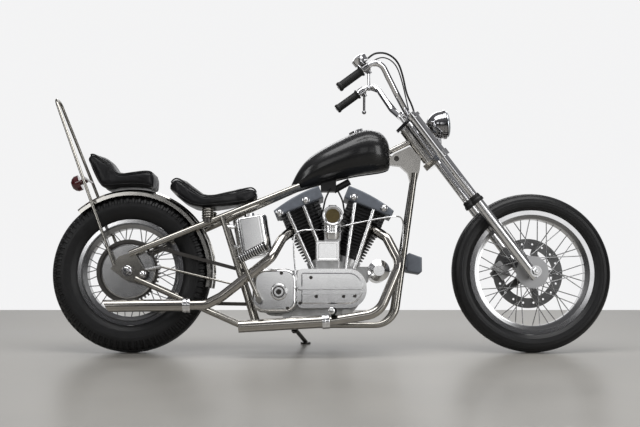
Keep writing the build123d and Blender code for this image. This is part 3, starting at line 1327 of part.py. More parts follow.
rear_centre = Vector(0, SPROCKET_Y, REAR_AXLE_Z)
drive_centre = Vector(DRIVE_X, SPROCKET_Y, DRIVE_Z)
span = drive_centre - rear_centre
span_angle = degrees(asin(span.Z / span.length))
wrap_angle = 90 - degrees(asin((CHAIN_RADIUS - DRIVE_RADIUS) / span.length))
chain_half_width = SPROCKET_WIDTH / 2 + CHAIN_GAP + CHAIN_SIDE


def outward(angle):
    return Vector(cos(radians(angle)), 0, sin(radians(angle)))


pin_centres = []
for side in SIDES:
    normal = outward(span_angle + side * wrap_angle)
    run_start = rear_centre + normal * CHAIN_RADIUS
    run = drive_centre + normal * DRIVE_RADIUS - run_start
    pin_count = int((run.length - CHAIN_PIN_START) / CHAIN_PIN_PITCH) + 1
    for number in range(pin_count):
        pin_centres.append(run_start + run.normalized() * (CHAIN_PIN_START + CHAIN_PIN_PITCH * number))
drive_step = degrees(CHAIN_PIN_PITCH / DRIVE_RADIUS)
for number in (-1, 0, 1):
    pin_centres.append(drive_centre + outward(span_angle + number * drive_step) * DRIVE_RADIUS)

with BuildPart() as drive_chain:
    for side in SIDES:
        inner_y = SPROCKET_Y + side * (chain_half_width - CHAIN_SIDE / 2)
        with BuildSketch(Plane.XZ.offset(-inner_y - CHAIN_SIDE / 2)):
            with Locations((0, REAR_AXLE_Z)):
                Circle(CHAIN_RADIUS + CHAIN_HALF)
            with Locations((DRIVE_X, DRIVE_Z)):
                Circle(DRIVE_RADIUS + CHAIN_HALF)
            make_hull()
            with BuildSketch(mode=Mode.SUBTRACT):
                with Locations((0, REAR_AXLE_Z)):
                    Circle(CHAIN_RADIUS - CHAIN_HALF)
                with Locations((DRIVE_X, DRIVE_Z)):
                    Circle(DRIVE_RADIUS - CHAIN_HALF)
                make_hull()
        extrude(amount=CHAIN_SIDE)
    pin_seats = [Plane(p - Vector(0, chain_half_width, 0), z_dir=(0, 1, 0)).location for p in pin_centres]
    with Locations(*pin_seats):
        Cylinder(ROLLER_RADIUS, 2 * chain_half_width, align=ALONG)
pieces["drive_chain"] = drive_chain

# Side stand: a leg on a slanted hinge pin under the left rail, its pad flat on the floor
STAND_PIVOT = Vector(668, 140, 97)
STAND_AXIS = Vector(0.05, 0.40, 0.915).normalized()
STAND_FOOT_X = 712.0
STAND_FOOT_Y = 288.0
STAND_LEG = 18.0
STAND_EYE = 28.0
STAND_EYE_HEIGHT = 24.0
STAND_PIN = 11.0
STAND_PAD = 44.0
STAND_PAD_HEIGHT = 8.0
PIN_HEAD = 20.0
PIN_HEAD_HEIGHT = 5.0
BRACKET_ARM = 18.0
floor_up = Vector(0, -sin(radians(LEAN)), cos(radians(LEAN)))
stand_foot = Vector(STAND_FOOT_X, STAND_FOOT_Y, STAND_FOOT_Y * tan(radians(LEAN)))
eye_top = STAND_PIVOT + STAND_AXIS * STAND_EYE_HEIGHT / 2
eye_bottom = STAND_PIVOT - STAND_AXIS * STAND_EYE_HEIGHT / 2
with BuildPart() as stand_bracket:
    arm_middle = eye_top + STAND_AXIS * (BRACKET_ARM / 2 + RUNNING_GAP)
    rail_seat = on_side(RAIL_REAR + rail_run * ((STAND_PIVOT.X - RAIL_REAR.X) / rail_run.X), 1)
    arm_run = STAND_AXIS.cross(Vector(1, 0, 0)).normalized()
    rod(arm_middle, arm_middle - arm_run * (arm_middle.Y - rail_seat.Y), BRACKET_ARM)
    rod(eye_top + STAND_AXIS * RUNNING_GAP, arm_middle + STAND_AXIS * BRACKET_ARM / 2, STAND_EYE)
    head_top = eye_bottom - STAND_AXIS * RUNNING_GAP
    rod(arm_middle, head_top, STAND_PIN)
    rod(head_top, head_top - STAND_AXIS * PIN_HEAD_HEIGHT, PIN_HEAD)
    add(rails.part, mode=Mode.SUBTRACT)
pieces["stand_bracket"] = stand_bracket

with BuildPart() as side_stand:
    rod(eye_bottom, eye_top, STAND_EYE)
    rod(STAND_PIVOT, stand_foot + floor_up * STAND_LEG / 2, STAND_LEG)
    rod(stand_foot, stand_foot + floor_up * STAND_PAD_HEIGHT, STAND_PAD)
    rod(eye_bottom, eye_top, STAND_PIN + 2 * RUNNING_GAP, mode=Mode.SUBTRACT)
pieces["side_stand"] = side_stand

# Lean every piece onto the stand, with the origin under the middle of the whole machine
leaning = Location((0, 0, 0), (-LEAN, 0, 0))
boxes = [piece.part.moved(leaning).bounding_box() for piece in pieces.values()]
middle_x = (min(box.min.X for box in boxes) + max(box.max.X for box in boxes)) / 2
middle_y = (min(box.min.Y for box in boxes) + max(box.max.Y for box in boxes)) / 2
PARKED = Location((-middle_x, -middle_y, 0), (-LEAN, 0, 0))

os.makedirs("parts", exist_ok=True)
for name, piece in pieces.items():
    piece.part.label = name
    piece.part.locate(PARKED)
    export_step(piece.part, f"parts/{name}.step")
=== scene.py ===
import json
import math

import bmesh
import bpy
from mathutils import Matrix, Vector


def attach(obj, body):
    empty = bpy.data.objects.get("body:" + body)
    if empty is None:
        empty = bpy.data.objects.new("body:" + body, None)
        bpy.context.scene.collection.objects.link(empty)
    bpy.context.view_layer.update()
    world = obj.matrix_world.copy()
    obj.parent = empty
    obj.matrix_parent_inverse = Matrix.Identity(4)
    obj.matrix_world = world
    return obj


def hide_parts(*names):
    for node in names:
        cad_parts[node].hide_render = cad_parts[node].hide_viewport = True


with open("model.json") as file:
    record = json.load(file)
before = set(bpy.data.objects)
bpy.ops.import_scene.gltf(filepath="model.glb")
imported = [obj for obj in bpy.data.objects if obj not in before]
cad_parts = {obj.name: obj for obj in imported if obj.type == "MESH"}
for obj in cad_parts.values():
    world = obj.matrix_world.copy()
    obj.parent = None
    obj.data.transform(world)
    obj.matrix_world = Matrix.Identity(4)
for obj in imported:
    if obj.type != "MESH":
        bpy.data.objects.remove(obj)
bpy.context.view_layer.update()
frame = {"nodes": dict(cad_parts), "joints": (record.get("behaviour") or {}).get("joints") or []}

nodes = frame["nodes"]
joints = {joint["name"]: joint for joint in frame["joints"]}
REAR_AXLE = Vector(joints["rear_wheel_spin"]["pos_m"])
FRONT_AXLE = Vector(joints["front_wheel_spin"]["pos_m"])
WHEEL_AXIS = Vector(joints["rear_wheel_spin"]["axis"]).normalized()

# The machine's own axes: forward, to its left and up, leaning as it is parked
FORWARD = Vector((1, 0, 0))
LEFT = WHEEL_AXIS if WHEEL_AXIS.y > 0 else -WHEEL_AXIS
UP = FORWARD.cross(LEFT)
WHEEL_RADIUS = 0.32747
MM_PER_METRE = 1000


def spot(ahead, left, high):
    """A place in the row frame, from millimetres ahead of the rear axle, left and above the wheels' foot."""
    foot = REAR_AXLE - UP * WHEEL_RADIUS
    return foot + (FORWARD * ahead + LEFT * left + UP * high) / MM_PER_METRE


def heading(ahead, left, high):
    """A direction in the row frame, from one along the machine's own axes."""
    return (FORWARD * ahead + LEFT * left + UP * high).normalized()


# Materials: how finely every surface's noise is made, and how far into its range the tint runs
CLOUD_DETAIL = 6.0
CLOUD_ROUGHNESS = 0.6
FINE_DETAIL = 4.0
TINT_START = 0.3
TINT_END = 0.7
LEAST_ROUGHNESS = 0.02

# Radius in metres at which the ramps of the wheels' bands end
BAND_REACH = 0.34


def node_of(tree, kind, **values):
    """A new shader node with the named inputs set."""
    node = tree.nodes.new(kind)
    for name, value in values.items():
        node.inputs[name].default_value = value
    return node


def finish(name, colour, metallic, roughness, surface, **extra):
    """A material whose colour, roughness and bump vary as its kind of surface does."""
    material = bpy.data.materials.new(name)
    material.use_nodes = True
    tree = material.node_tree
    shader = tree.nodes["Principled BSDF"]
    shader.inputs["Metallic"].default_value = metallic
    for socket, value in extra.items():
        shader.inputs[socket.replace("_", " ")].default_value = value
    place = tree.nodes.new("ShaderNodeTexCoord")
    cloud = node_of(tree, "ShaderNodeTexNoise", Scale=surface["cloud"], Detail=CLOUD_DETAIL,
                    Roughness=CLOUD_ROUGHNESS)
    tree.links.new(place.outputs["Object"], cloud.inputs["Vector"])
    tint = tree.nodes.new("ShaderNodeValToRGB")
    tint.color_ramp.elements[0].position = TINT_START
    tint.color_ramp.elements[1].position = TINT_END
    dark = [channel * (1 - surface["tint"]) for channel in colour]
    light = [min(1.0, channel * (1 + surface["tint"])) for channel in colour]
    tint.color_ramp.elements[0].color = (*dark, 1)
    tint.color_ramp.elements[1].color = (*light, 1)
    tree.links.new(cloud.outputs["Fac"], tint.inputs["Fac"])
    tree.links.new(tint.outputs["Color"], shader.inputs["Base Color"])
    gloss = tree.nodes.new("ShaderNodeMapRange")
    gloss.inputs["To Min"].default_value = max(LEAST_ROUGHNESS, roughness - surface["spread"])
    gloss.inputs["To Max"].default_value = roughness + surface["spread"]
    tree.links.new(cloud.outputs["Fac"], gloss.inputs["Value"])
    tree.links.new(gloss.outputs["Result"], shader.inputs["Roughness"])
    if surface["kind"] == "cells":
        fine = node_of(tree, "ShaderNodeTexVoronoi", Scale=surface["fine"])
        height = fine.outputs["Distance"]
    else:
        fine = node_of(tree, "ShaderNodeTexNoise", Scale=surface["fine"], Detail=FINE_DETAIL)
        height = fine.outputs["Fac"]
    stretch = node_of(tree, "ShaderNodeMapping", Scale=surface["stretch"])
    tree.links.new(place.outputs["Object"], stretch.inputs["Vector"])
    tree.links.new(stretch.outputs["Vector"], fine.inputs["Vector"])
    bump = node_of(tree, "ShaderNodeBump", Strength=surface["bump"], Distance=surface["depth"])
    tree.links.new(height, bump.inputs["Height"])
    tree.links.new(bump.outputs["Normal"], shader.inputs["Normal"])
    return material


def grain(cloud, tint, spread, fine, bump, depth=0.0005, kind="noise", stretch=(1, 1, 1)):
    """How a surface varies: scales are in repeats per metre, depth in metres."""
    return {"cloud": cloud, "tint": tint, "spread": spread, "fine": fine, "bump": bump,
            "depth": depth, "kind": kind, "stretch": stretch}


def step_ramp(tree, share_of_reach, steps):
    """A stepped grey ramp over the reach of the bands, from rows of (radius, value)."""
    ramp = tree.nodes.new("ShaderNodeValToRGB")
    ramp.color_ramp.interpolation = "CONSTANT"
    for number, (radius, value) in enumerate(steps):
        place = radius / BAND_REACH
        element = ramp.color_ramp.elements[0] if number == 0 else ramp.color_ramp.elements.new(place)
        element.position = place
        element.color = (value, value, value, 1)
    ramp.color_ramp.elements.remove(ramp.color_ramp.elements[-1])
    tree.links.new(share_of_reach, ramp.inputs["Fac"])
    return ramp.outputs["Color"]


def vector_step(tree, operation, first, second=None):
    """A vector calculation on an output, with a fixed second vector."""
    step = tree.nodes.new("ShaderNodeVectorMath")
    step.operation = operation
    tree.links.new(first, step.inputs[0])
    if second is not None:
        step.inputs[1].default_value = second
    return step


def band(material, piece, axle, rows):
    """Bands round an axle on a material, from rows of (radius, share of the colour, roughness)."""
    tree = material.node_tree
    shader = tree.nodes["Principled BSDF"]
    into = piece.matrix_world.inverted()
    place = tree.nodes.new("ShaderNodeTexCoord")
    offset = vector_step(tree, "SUBTRACT", place.outputs["Object"], into @ axle)
    across = vector_step(tree, "CROSS_PRODUCT", offset.outputs["Vector"], into.to_3x3() @ LEFT)
    radius = vector_step(tree, "LENGTH", across.outputs["Vector"])
    reach = node_of(tree, "ShaderNodeMapRange", **{"From Max": BAND_REACH})
    tree.links.new(radius.outputs["Value"], reach.inputs["Value"])
    shares = step_ramp(tree, reach.outputs["Result"], [(start, share) for start, share, rough in rows])
    gloss = step_ramp(tree, reach.outputs["Result"], [(start, rough) for start, share, rough in rows])
    tinted = tree.nodes.new("ShaderNodeMix")
    tinted.data_type = "RGBA"
    tinted.blend_type = "MULTIPLY"
    tinted.inputs["Factor"].default_value = 1.0
    tree.links.new(shader.inputs["Base Color"].links[0].from_socket, tinted.inputs["A"])
    tree.links.new(shares, tinted.inputs["B"])
    tree.links.new(tinted.outputs["Result"], shader.inputs["Base Color"])
    tree.links.new(gloss, shader.inputs["Roughness"])
    return material


# Kinds of surface
POLISH = grain(18, 0.05, 0.02, 300, 0.001)
SATIN = grain(30, 0.08, 0.03, 300, 0.002)
BRUSHED = grain(24, 0.05, 0.03, 700, 0.03, stretch=(0.15, 1, 1.6))
CASTING = grain(40, 0.16, 0.08, 1100, 0.35)
PAINT = grain(12, 0.10, 0.02, 260, 0.015)
RUBBER = grain(35, 0.22, 0.08, 1400, 0.25)
HIDE = grain(22, 0.25, 0.10, 420, 0.45, kind="cells")
MESH = grain(60, 0.25, 0.08, 900, 0.5, kind="cells")
FLUTED = grain(30, 0.12, 0.03, 260, 0.4, stretch=(1, 1, 0.05))
SCREED = grain(1.6, 0.10, 0.08, 40, 0.02)

# Columns: name, colour, metallic, roughness, kind of surface
CHROME = finish("chrome", (0.80, 0.80, 0.81), 1.0, 0.07, POLISH)
# A darker copy of the chrome: painted shade that stands for the dim reflections on the headlamp and levers
SHADED_CHROME = finish("chrome_painted_shade", (0.36, 0.36, 0.37), 1.0, 0.10, POLISH)
NICKEL = finish("nickel", (0.36, 0.345, 0.315), 1.0, 0.17, SATIN)
# A lighter copy of the frame's nickel: painted highlight that stands for the bright band the fender catches
LIT_FENDER_NICKEL = finish("fender_nickel_painted_highlight", (0.60, 0.585, 0.55), 1.0, 0.18, SATIN)
PIPE_NICKEL = finish("pipe_nickel", (0.42, 0.40, 0.37), 1.0, 0.15, SATIN)
ALUMINIUM = finish("polished_aluminium", (0.78, 0.78, 0.78), 1.0, 0.17, BRUSHED)
CASE_METAL = finish("cast_aluminium", (0.52, 0.52, 0.52), 0.95, 0.36, CASTING)
CAST_GREY = finish("cast_grey", (0.48, 0.465, 0.44), 1.0, 0.27, SATIN)
PLATE_STEEL = finish("plate_steel", (0.54, 0.54, 0.54), 1.0, 0.22, SATIN)
ROTOR_STEEL = finish("rotor_steel", (0.13, 0.13, 0.13), 1.0, 0.33, SATIN)
BLUE_GREY = finish("blue_grey", (0.125, 0.138, 0.162), 0.30, 0.46, CASTING)
BLACK_FINS = finish("black_fins", (0.016, 0.016, 0.017), 0.25, 0.48, CASTING)
TANK_BLACK = finish("tank_black", (0.006, 0.006, 0.0065), 0.0, 0.34, PAINT,
                    Specular_IOR_Level=0.25, Coat_Weight=0.55, Coat_Roughness=0.15)
TYRE_RUBBER = finish("tyre_rubber", (0.007, 0.007, 0.0075), 0.0, 0.42, RUBBER, Specular_IOR_Level=0.32)
SOFT_RUBBER = finish("soft_rubber", (0.011, 0.011, 0.011), 0.0, 0.52, RUBBER, Specular_IOR_Level=0.3)
LEATHER = finish("leather", (0.010, 0.010, 0.011), 0.0, 0.34, HIDE, Specular_IOR_Level=0.20)
DARK_STEEL = finish("dark_steel", (0.09, 0.085, 0.08), 1.0, 0.38, SATIN)
LAMP_RED = finish("lamp_red", (0.06, 0.003, 0.004), 0.0, 0.12, PAINT, Coat_Weight=1.0, Coat_Roughness=0.04)
GAUZE = finish("gauze", (0.085, 0.062, 0.020), 0.4, 0.45, MESH)
LENS_GLASS = finish("lens_glass", (0.62, 0.65, 0.68), 0.7, 0.09, FLUTED)
FLOOR_PAINT = finish("floor_paint", (0.30, 0.288, 0.266), 0.0, 0.34, SCREED)

FINISHES = (
    (CHROME, ("fork_tubes", "upper_tree", "handlebar", "tank_cap", "front_axle", "rear_axle")),
    (SHADED_CHROME, ("headlamp", "clutch_lever", "brake_lever")),
    (NICKEL, ("axle_plates", "upper_stays", "rails", "downtubes", "lower_stays", "seat_posts", "backbone",
              "sissy_bar", "brake_rod", "kick_starter")),
    (LIT_FENDER_NICKEL, ("fender",)),
    (PIPE_NICKEL, ("exhaust_pipes", "mufflers")),
    (ALUMINIUM, ("cam_cover", "sprocket_cover", "primary_cover", "oil_tank", "fork_legs", "lower_tree",
                 "pushrods", "generator")),
    (CASE_METAL, ("crankcase", "tappet_block", "carburettor", "caliper")),
    (CAST_GREY, ("neck",)),
    (PLATE_STEEL, ("brake_plate",)),
    (ROTOR_STEEL, ("front_rotor",)),
    (BLUE_GREY, ("rocker_boxes", "regulator")),
    (BLACK_FINS, ("rear_cylinder", "front_cylinder", "ignition_coil")),
    (TANK_BLACK, ("fuel_tank",)),
    (TYRE_RUBBER, ("front_tyre", "rear_tyre")),
    (SOFT_RUBBER, ("fork_boots", "grips", "foot_pegs", "brake_hose")),
    (LEATHER, ("solo_seat", "passenger_seat")),
    (DARK_STEEL, ("rear_sprocket", "drive_sprocket", "drive_chain", "seat_mounts", "stand_bracket",
                  "side_stand")),
    (LAMP_RED, ("tail_lamp",)),
)


def paint(piece, material):
    """Gives a piece one material in place of those it has."""
    piece.data.materials.clear()
    piece.data.materials.append(material)


for material, names in FINISHES:
    for name in names:
        paint(nodes[name], material)

# Wheels: cast hub, dull spokes, a grey rim and its bright lip
WHEEL_COLOUR = (0.82, 0.82, 0.83)
WHEEL_BANDS = (
    ("front_wheel", FRONT_AXLE, ((0.0, 0.50, 0.42), (0.070, 0.32, 0.25), (0.212, 0.70, 0.14),
                                 (0.223, 0.34, 0.20), (0.237, 0.95, 0.10))),
    ("rear_wheel", REAR_AXLE, ((0.0, 0.45, 0.42), (0.084, 0.38, 0.25), (0.174, 0.40, 0.20),
                               (0.197, 0.18, 0.25), (0.202, 0.90, 0.12))),
)
for node, axle, rows in WHEEL_BANDS:
    metal = finish(node + "_metal", WHEEL_COLOUR, 1.0, 0.1, POLISH)
    paint(nodes[node], band(metal, nodes[node], axle, rows))


# Building blocks for the pieces that the scene adds: how finely curves and corners are divided
TUBE_ROUNDNESS = 4
TUBE_STEPS = 6
TUBE_ORDER = 3
CORNER_STEPS = 6

# Angles in degrees from which an edge stays sharp
PLATE_SHARP = 30
TYRE_SHARP = 32
TURNED_SHARP = 38
GRIP_SHARP = 50
LENS_SHARP = 60


def add_piece(name, mesh, material, body):
    """Puts a mesh in the scene with its material, riding on a body."""
    piece = bpy.data.objects.new(name, mesh)
    bpy.context.scene.collection.objects.link(piece)
    paint(piece, material)
    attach(piece, body)
    return piece


def shade(mesh, sharp_degrees):
    """Smooth shading that keeps edges sharper than the angle."""
    mesh.shade_smooth()
    mesh.set_sharp_from_angle(angle=math.radians(sharp_degrees))


def grid_mesh(name, rows, closed):
    """A mesh from rings of points, each joined to the next, and the last to the first if closed."""
    columns = len(rows[0])
    faces = []
    row_steps = len(rows) if closed else len(rows) - 1
    for row in range(row_steps):
        here = row * columns
        after = (row + 1) % len(rows) * columns
        for column in range(columns):
            beside = (column + 1) % columns
            faces.append((here + column, here + beside, after + beside, after + column))
    mesh = bpy.data.meshes.new(name)
    mesh.from_pydata([point for row in rows for point in row], [], faces)
    return mesh


def close_outward(mesh):
    """Caps open ends and turns every face outwards."""
    work = bmesh.new()
    work.from_mesh(mesh)
    bmesh.ops.holes_fill(work, edges=work.edges[:])
    bmesh.ops.recalc_face_normals(work, faces=work.faces[:])
    work.to_mesh(mesh)
    work.free()


def between(table, at):
    """The value at a place in a table of (place, value) rows, along straight lines."""
    if at <= table[0][0]:
        return table[0][1]
    for (start, low), (end, high) in zip(table, table[1:]):
        if at <= end:
            return low + (high - low) * (at - start) / (end - start)
    return table[-1][1]


def tube(name, points, radius, material, body, closed=False):
    """A round line through points, as one smooth curve."""
    curve = bpy.data.curves.new(name, "CURVE")
    curve.dimensions = "3D"
    curve.bevel_depth = radius
    curve.bevel_resolution = TUBE_ROUNDNESS
    curve.resolution_u = TUBE_STEPS
    curve.use_fill_caps = True
    line = curve.splines.new("NURBS")
    line.points.add(len(points) - 1)
    for control, point in zip(line.points, points):
        control.co = (*point, 1)
    line.order_u = TUBE_ORDER
    line.use_cyclic_u = closed
    line.use_endpoint_u = not closed
    piece = bpy.data.objects.new(name, curve)
    bpy.context.scene.collection.objects.link(piece)
    piece.data.materials.append(material)
    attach(piece, body)
    return piece


def rounded(rear, front, low, high, corner):
    """An outline of (ahead, high) points round a box with arcs at its corners."""
    points = []
    centres = ((front - corner, high - corner), (rear + corner, high - corner),
               (rear + corner, low + corner), (front - corner, low + corner))
    for quarter, (ahead, up) in enumerate(centres):
        for step in range(CORNER_STEPS + 1):
            angle = math.pi / 2 * (quarter + step / CORNER_STEPS)
            points.append((ahead + corner * math.cos(angle), up + corner * math.sin(angle)))
    return points


def raised(name, outline, layers, material, body):
    """A plate across the machine, from an outline and layers of (left, scale about the outline's middle)."""
    middle_ahead = sum(ahead for ahead, high in outline) / len(outline)
    middle_high = sum(high for ahead, high in outline) / len(outline)
    rows = []
    for left, scale in layers:
        row = []
        for ahead, high in outline:
            scaled_ahead = middle_ahead + (ahead - middle_ahead) * scale
            scaled_high = middle_high + (high - middle_high) * scale
            row.append(spot(scaled_ahead, left, scaled_high))
        rows.append(row)
    mesh = grid_mesh(name, rows, closed=False)
    close_outward(mesh)
    shade(mesh, PLATE_SHARP)
    return add_piece(name, mesh, material, body)


def turned(name, parts, material, body, sharp_degrees=TURNED_SHARP):
    """One piece of turned parts, each a place, an axis, a profile in millimetres and a number of sides."""
    work = bmesh.new()
    for place, axis, profile, sides in parts:
        across = axis.orthogonal().normalized()
        upward = axis.cross(across)
        rings = []
        for along, radius in profile:
            ring = []
            for number in range(sides):
                angle = 2 * math.pi * number / sides
                out = across * math.cos(angle) + upward * math.sin(angle)
                ring.append(work.verts.new(place + (axis * along + out * radius) / MM_PER_METRE))
            rings.append(ring)
        for low, high in zip(rings, rings[1:]):
            for number in range(sides):
                after = (number + 1) % sides
                work.faces.new((low[number], low[after], high[after], high[number]))
        work.faces.new(rings[0][::-1])
        work.faces.new(rings[-1])
    bmesh.ops.recalc_face_normals(work, faces=work.faces[:])
    mesh = bpy.data.meshes.new(name)
    work.to_mesh(mesh)
    work.free()
    shade(mesh, sharp_degrees)
    return add_piece(name, mesh, material, body)


# Tyres: turned meshes with their tread cut in, in the place of the plain solids
TYRE_CROWN = 327.0
GROOVE_DEPTH = 5.5
GROOVE_WALL = 0.8
STEPS_PER_BLOCK = 6
WALL_STEPS = 26

# Tread from its share of the shoulder's half width, and how far in from an edge its first ring lies
TREAD_FROM = 0.985
EDGE_INSET = 1.0

# Raised rings on the side walls: shares of the way up the wall, width as such a share, height
SIDE_RINGS = (0.30, 0.62, 0.80)
RING_WIDTH = 0.03
RING_HEIGHT = 0.9

# How far the gaps between shoulder blocks are sunk, across the tyre and towards the axle, and from where
FLUSH = (0.0, 0.0)
WALL_SINK = (4.0, 2.5)
TREAD_SINK = (0.0, GROOVE_DEPTH)
BLOCKS_FROM = 0.74

# Columns: node, body, axle, bead half width, bead radius, widest half, its radius, shoulder half,
# its radius, blocks, half widths of the grooves, groove width, share of a pitch cut between blocks
TYRES = (
    ("rear_tyre", "rear_wheel", REAR_AXLE, 44, 218, 64, 261.5, 54, 305, 76, (10, 30), 6.0, 0.34),
    ("front_tyre", "front_wheel", FRONT_AXLE, 34, 256, 49, 284, 40, 312, 96, (6, 18, 30), 4.0, 0.0),
)


def arc_through(start, middle, end, count):
    """Points along the circle through three points of the (half width, radius) plane."""
    ax, ay = start
    bx, by = middle
    cx, cy = end
    a_square = ax * ax + ay * ay
    b_square = bx * bx + by * by
    c_square = cx * cx + cy * cy
    turn = 2 * (ax * (by - cy) + bx * (cy - ay) + cx * (ay - by))
    ox = (a_square * (by - cy) + b_square * (cy - ay) + c_square * (ay - by)) / turn
    oy = (a_square * (cx - bx) + b_square * (ax - cx) + c_square * (bx - ax)) / turn
    radius = math.hypot(ax - ox, ay - oy)
    first = math.atan2(ay - oy, ax - ox)
    last = math.atan2(cy - oy, cx - ox)
    angles = [first + (last - first) * step / count for step in range(count + 1)]
    return [(ox + radius * math.cos(angle), oy + radius * math.sin(angle)) for angle in angles]


def crown_height(half, shoulder, shoulder_radius):
    """Radius of the tread at a distance from the middle plane."""
    drop = TYRE_CROWN - shoulder_radius
    crown = (shoulder * shoulder + drop * drop) / (2 * drop)
    return TYRE_CROWN - crown + math.sqrt(crown * crown - half * half)


def tyre_profile(bead_half, bead, wide, wide_radius, shoulder, shoulder_radius, grooves, groove_width):
    """One side of a tyre, from the bead to the middle: (half width, radius, how far a gap is sunk)."""
    side = []
    wall = arc_through((bead_half, bead), (wide, wide_radius), (shoulder, shoulder_radius), WALL_STEPS)
    for number, (half, radius) in enumerate(wall):
        along = number / WALL_STEPS
        ring = max(0.0, 1 - min(abs(along - place) for place in SIDE_RINGS) / RING_WIDTH)
        side.append((half + RING_HEIGHT * ring, radius, WALL_SINK if along > BLOCKS_FROM else FLUSH))
    edge = shoulder * TREAD_FROM
    for groove in sorted(grooves, reverse=True):
        outer = groove + groove_width / 2
        inner = groove - groove_width / 2
        top_outer = crown_height(outer, shoulder, shoulder_radius)
        top_inner = crown_height(inner, shoulder, shoulder_radius)
        sink = TREAD_SINK if groove == max(grooves) else FLUSH
        for half in (edge - EDGE_INSET, (edge + outer) / 2, outer):
            side.append((half, crown_height(half, shoulder, shoulder_radius), sink))
        side.append((outer - GROOVE_WALL, top_outer - GROOVE_DEPTH, FLUSH))
        side.append((inner + GROOVE_WALL, top_inner - GROOVE_DEPTH, FLUSH))
        side.append((inner, top_inner, FLUSH))
        edge = inner
    side.append((0.0, TYRE_CROWN, FLUSH))
    return side


def make_tyres():
    """Both tyres, each in the place of its solid."""
    for (node, body, axle, bead_half, bead, wide, wide_radius, shoulder, shoulder_radius, blocks, grooves,
         groove_width, gap_share) in TYRES:
        half = tyre_profile(bead_half, bead, wide, wide_radius, shoulder, shoulder_radius, grooves,
                            groove_width)
        mirrored = [(-across, radius, (-aside, down)) for across, radius, (aside, down) in half[-2::-1]]
        profile = half + mirrored
        steps = blocks * STEPS_PER_BLOCK
        rows = []
        for across, radius, sink in profile:
            row = []
            for step in range(steps):
                angle = 2 * math.pi * step / steps
                aside, down = sink if step % STEPS_PER_BLOCK < gap_share * STEPS_PER_BLOCK else FLUSH
                outward = FORWARD * math.cos(angle) + UP * math.sin(angle)
                sideways = LEFT * ((across - aside) / MM_PER_METRE)
                row.append(axle + sideways + outward * ((radius - down) / MM_PER_METRE))
            rows.append(row)
        mesh = grid_mesh(node + "_tread", rows, closed=True)
        close_outward(mesh)
        shade(mesh, TYRE_SHARP)
        tyre = add_piece(node + "_tread", mesh, TYRE_RUBBER, body)
        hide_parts(node)


make_tyres()


# Seats: leather over foam, swollen by a cloth simulation, with piping round the top and a seam below
STATION_STEP = 7.0
SECTION_POINTS = 40
START_INSET = 4.5
SWELL_CAP = 0.007
SWELL_FRAMES = 20
SWELL_PRESSURE = 4.0
VOXEL = 0.005
SMOOTH_LEVELS = 1

# Powers that make a section boxy above and flatter below, and the least thickness of a seat
TOP_POWER = 0.55
BOTTOM_POWER = 0.38
LEAST_THICKNESS = 2.0

# Columns: line along a seat's skin, angle round the section, radius in metres
SEAMS = (("piping", 0.62, 0.0032), ("seam", -0.55, 0.0016))
SEAM_INSET = 1.0

# Rows of (ahead, value) along each seat: its top, its bottom and half its width
SADDLE = {
    "top": ((157, 679), (165, 702), (181, 717), (196, 718), (212, 711), (250, 679), (294, 646), (320, 641),
            (345, 643), (420, 664), (470, 681), (492, 684), (506, 675), (515, 656)),
    "bottom": ((157, 673), (180, 648), (215, 618), (255, 594), (302, 590), (390, 600), (473, 614),
               (500, 633), (515, 649)),
    "half": ((157, 58), (165, 86), (190, 108), (230, 119), (330, 119), (380, 102), (430, 78), (480, 58),
             (505, 45), (515, 32)),
}
PAD = {
    "top": ((-179, 801), (-172, 816), (-162, 822), (-146, 820), (-130, 812), (-110, 800), (-89, 783),
            (-70, 752), (-56, 738), (-33, 733), (20, 741), (66, 748), (80, 747), (89, 741), (93, 728)),
    "bottom": ((-179, 795), (-152, 733), (-122, 672), (-97, 667), (-50, 677), (0, 680), (50, 677),
               (93, 668)),
    "half": ((-179, 60), (-165, 74), (-150, 80), (-100, 96), (-60, 104), (60, 104), (80, 97), (93, 84)),
}


def section_point(shape, ahead, angle, inset):
    """A point on a seat's skin, at a station and an angle round its boxy section, which is flatter below."""
    top = between(shape["top"], ahead) - inset
    bottom = between(shape["bottom"], ahead) + inset
    half = between(shape["half"], ahead) - inset
    power = TOP_POWER if math.sin(angle) > 0 else BOTTOM_POWER
    thickness = max(top - bottom, LEAST_THICKNESS)
    across = math.copysign(abs(math.cos(angle)) ** power, math.cos(angle)) * half
    rise = math.copysign(abs(math.sin(angle)) ** power, math.sin(angle)) * thickness / 2
    return spot(ahead, across, (top + bottom) / 2 + rise)


def swell(piece):
    """Voxel remesh, then a short pressure simulation with a cap on how far each point moves."""
    remesh = piece.modifiers.new("skin", "REMESH")
    remesh.mode = "VOXEL"
    remesh.voxel_size = VOXEL
    graph = bpy.context.evaluated_depsgraph_get()
    start = bpy.data.meshes.new_from_object(piece.evaluated_get(graph))
    piece.modifiers.clear()
    piece.data = start
    cloth = piece.modifiers.new("foam", "CLOTH")
    cloth.settings.use_pressure = True
    cloth.settings.uniform_pressure_force = SWELL_PRESSURE
    cloth.settings.effector_weights.gravity = 0.0
    for number in range(1, SWELL_FRAMES + 1):
        bpy.context.scene.frame_set(number)
    graph = bpy.context.evaluated_depsgraph_get()
    swollen = bpy.data.meshes.new_from_object(piece.evaluated_get(graph))
    piece.modifiers.clear()
    bpy.context.scene.frame_set(1)
    for vertex, moved in zip(start.vertices, swollen.vertices):
        move = moved.co - vertex.co
        if move.length > SWELL_CAP:
            move = move.normalized() * SWELL_CAP
        vertex.co = vertex.co + move
    start.update()


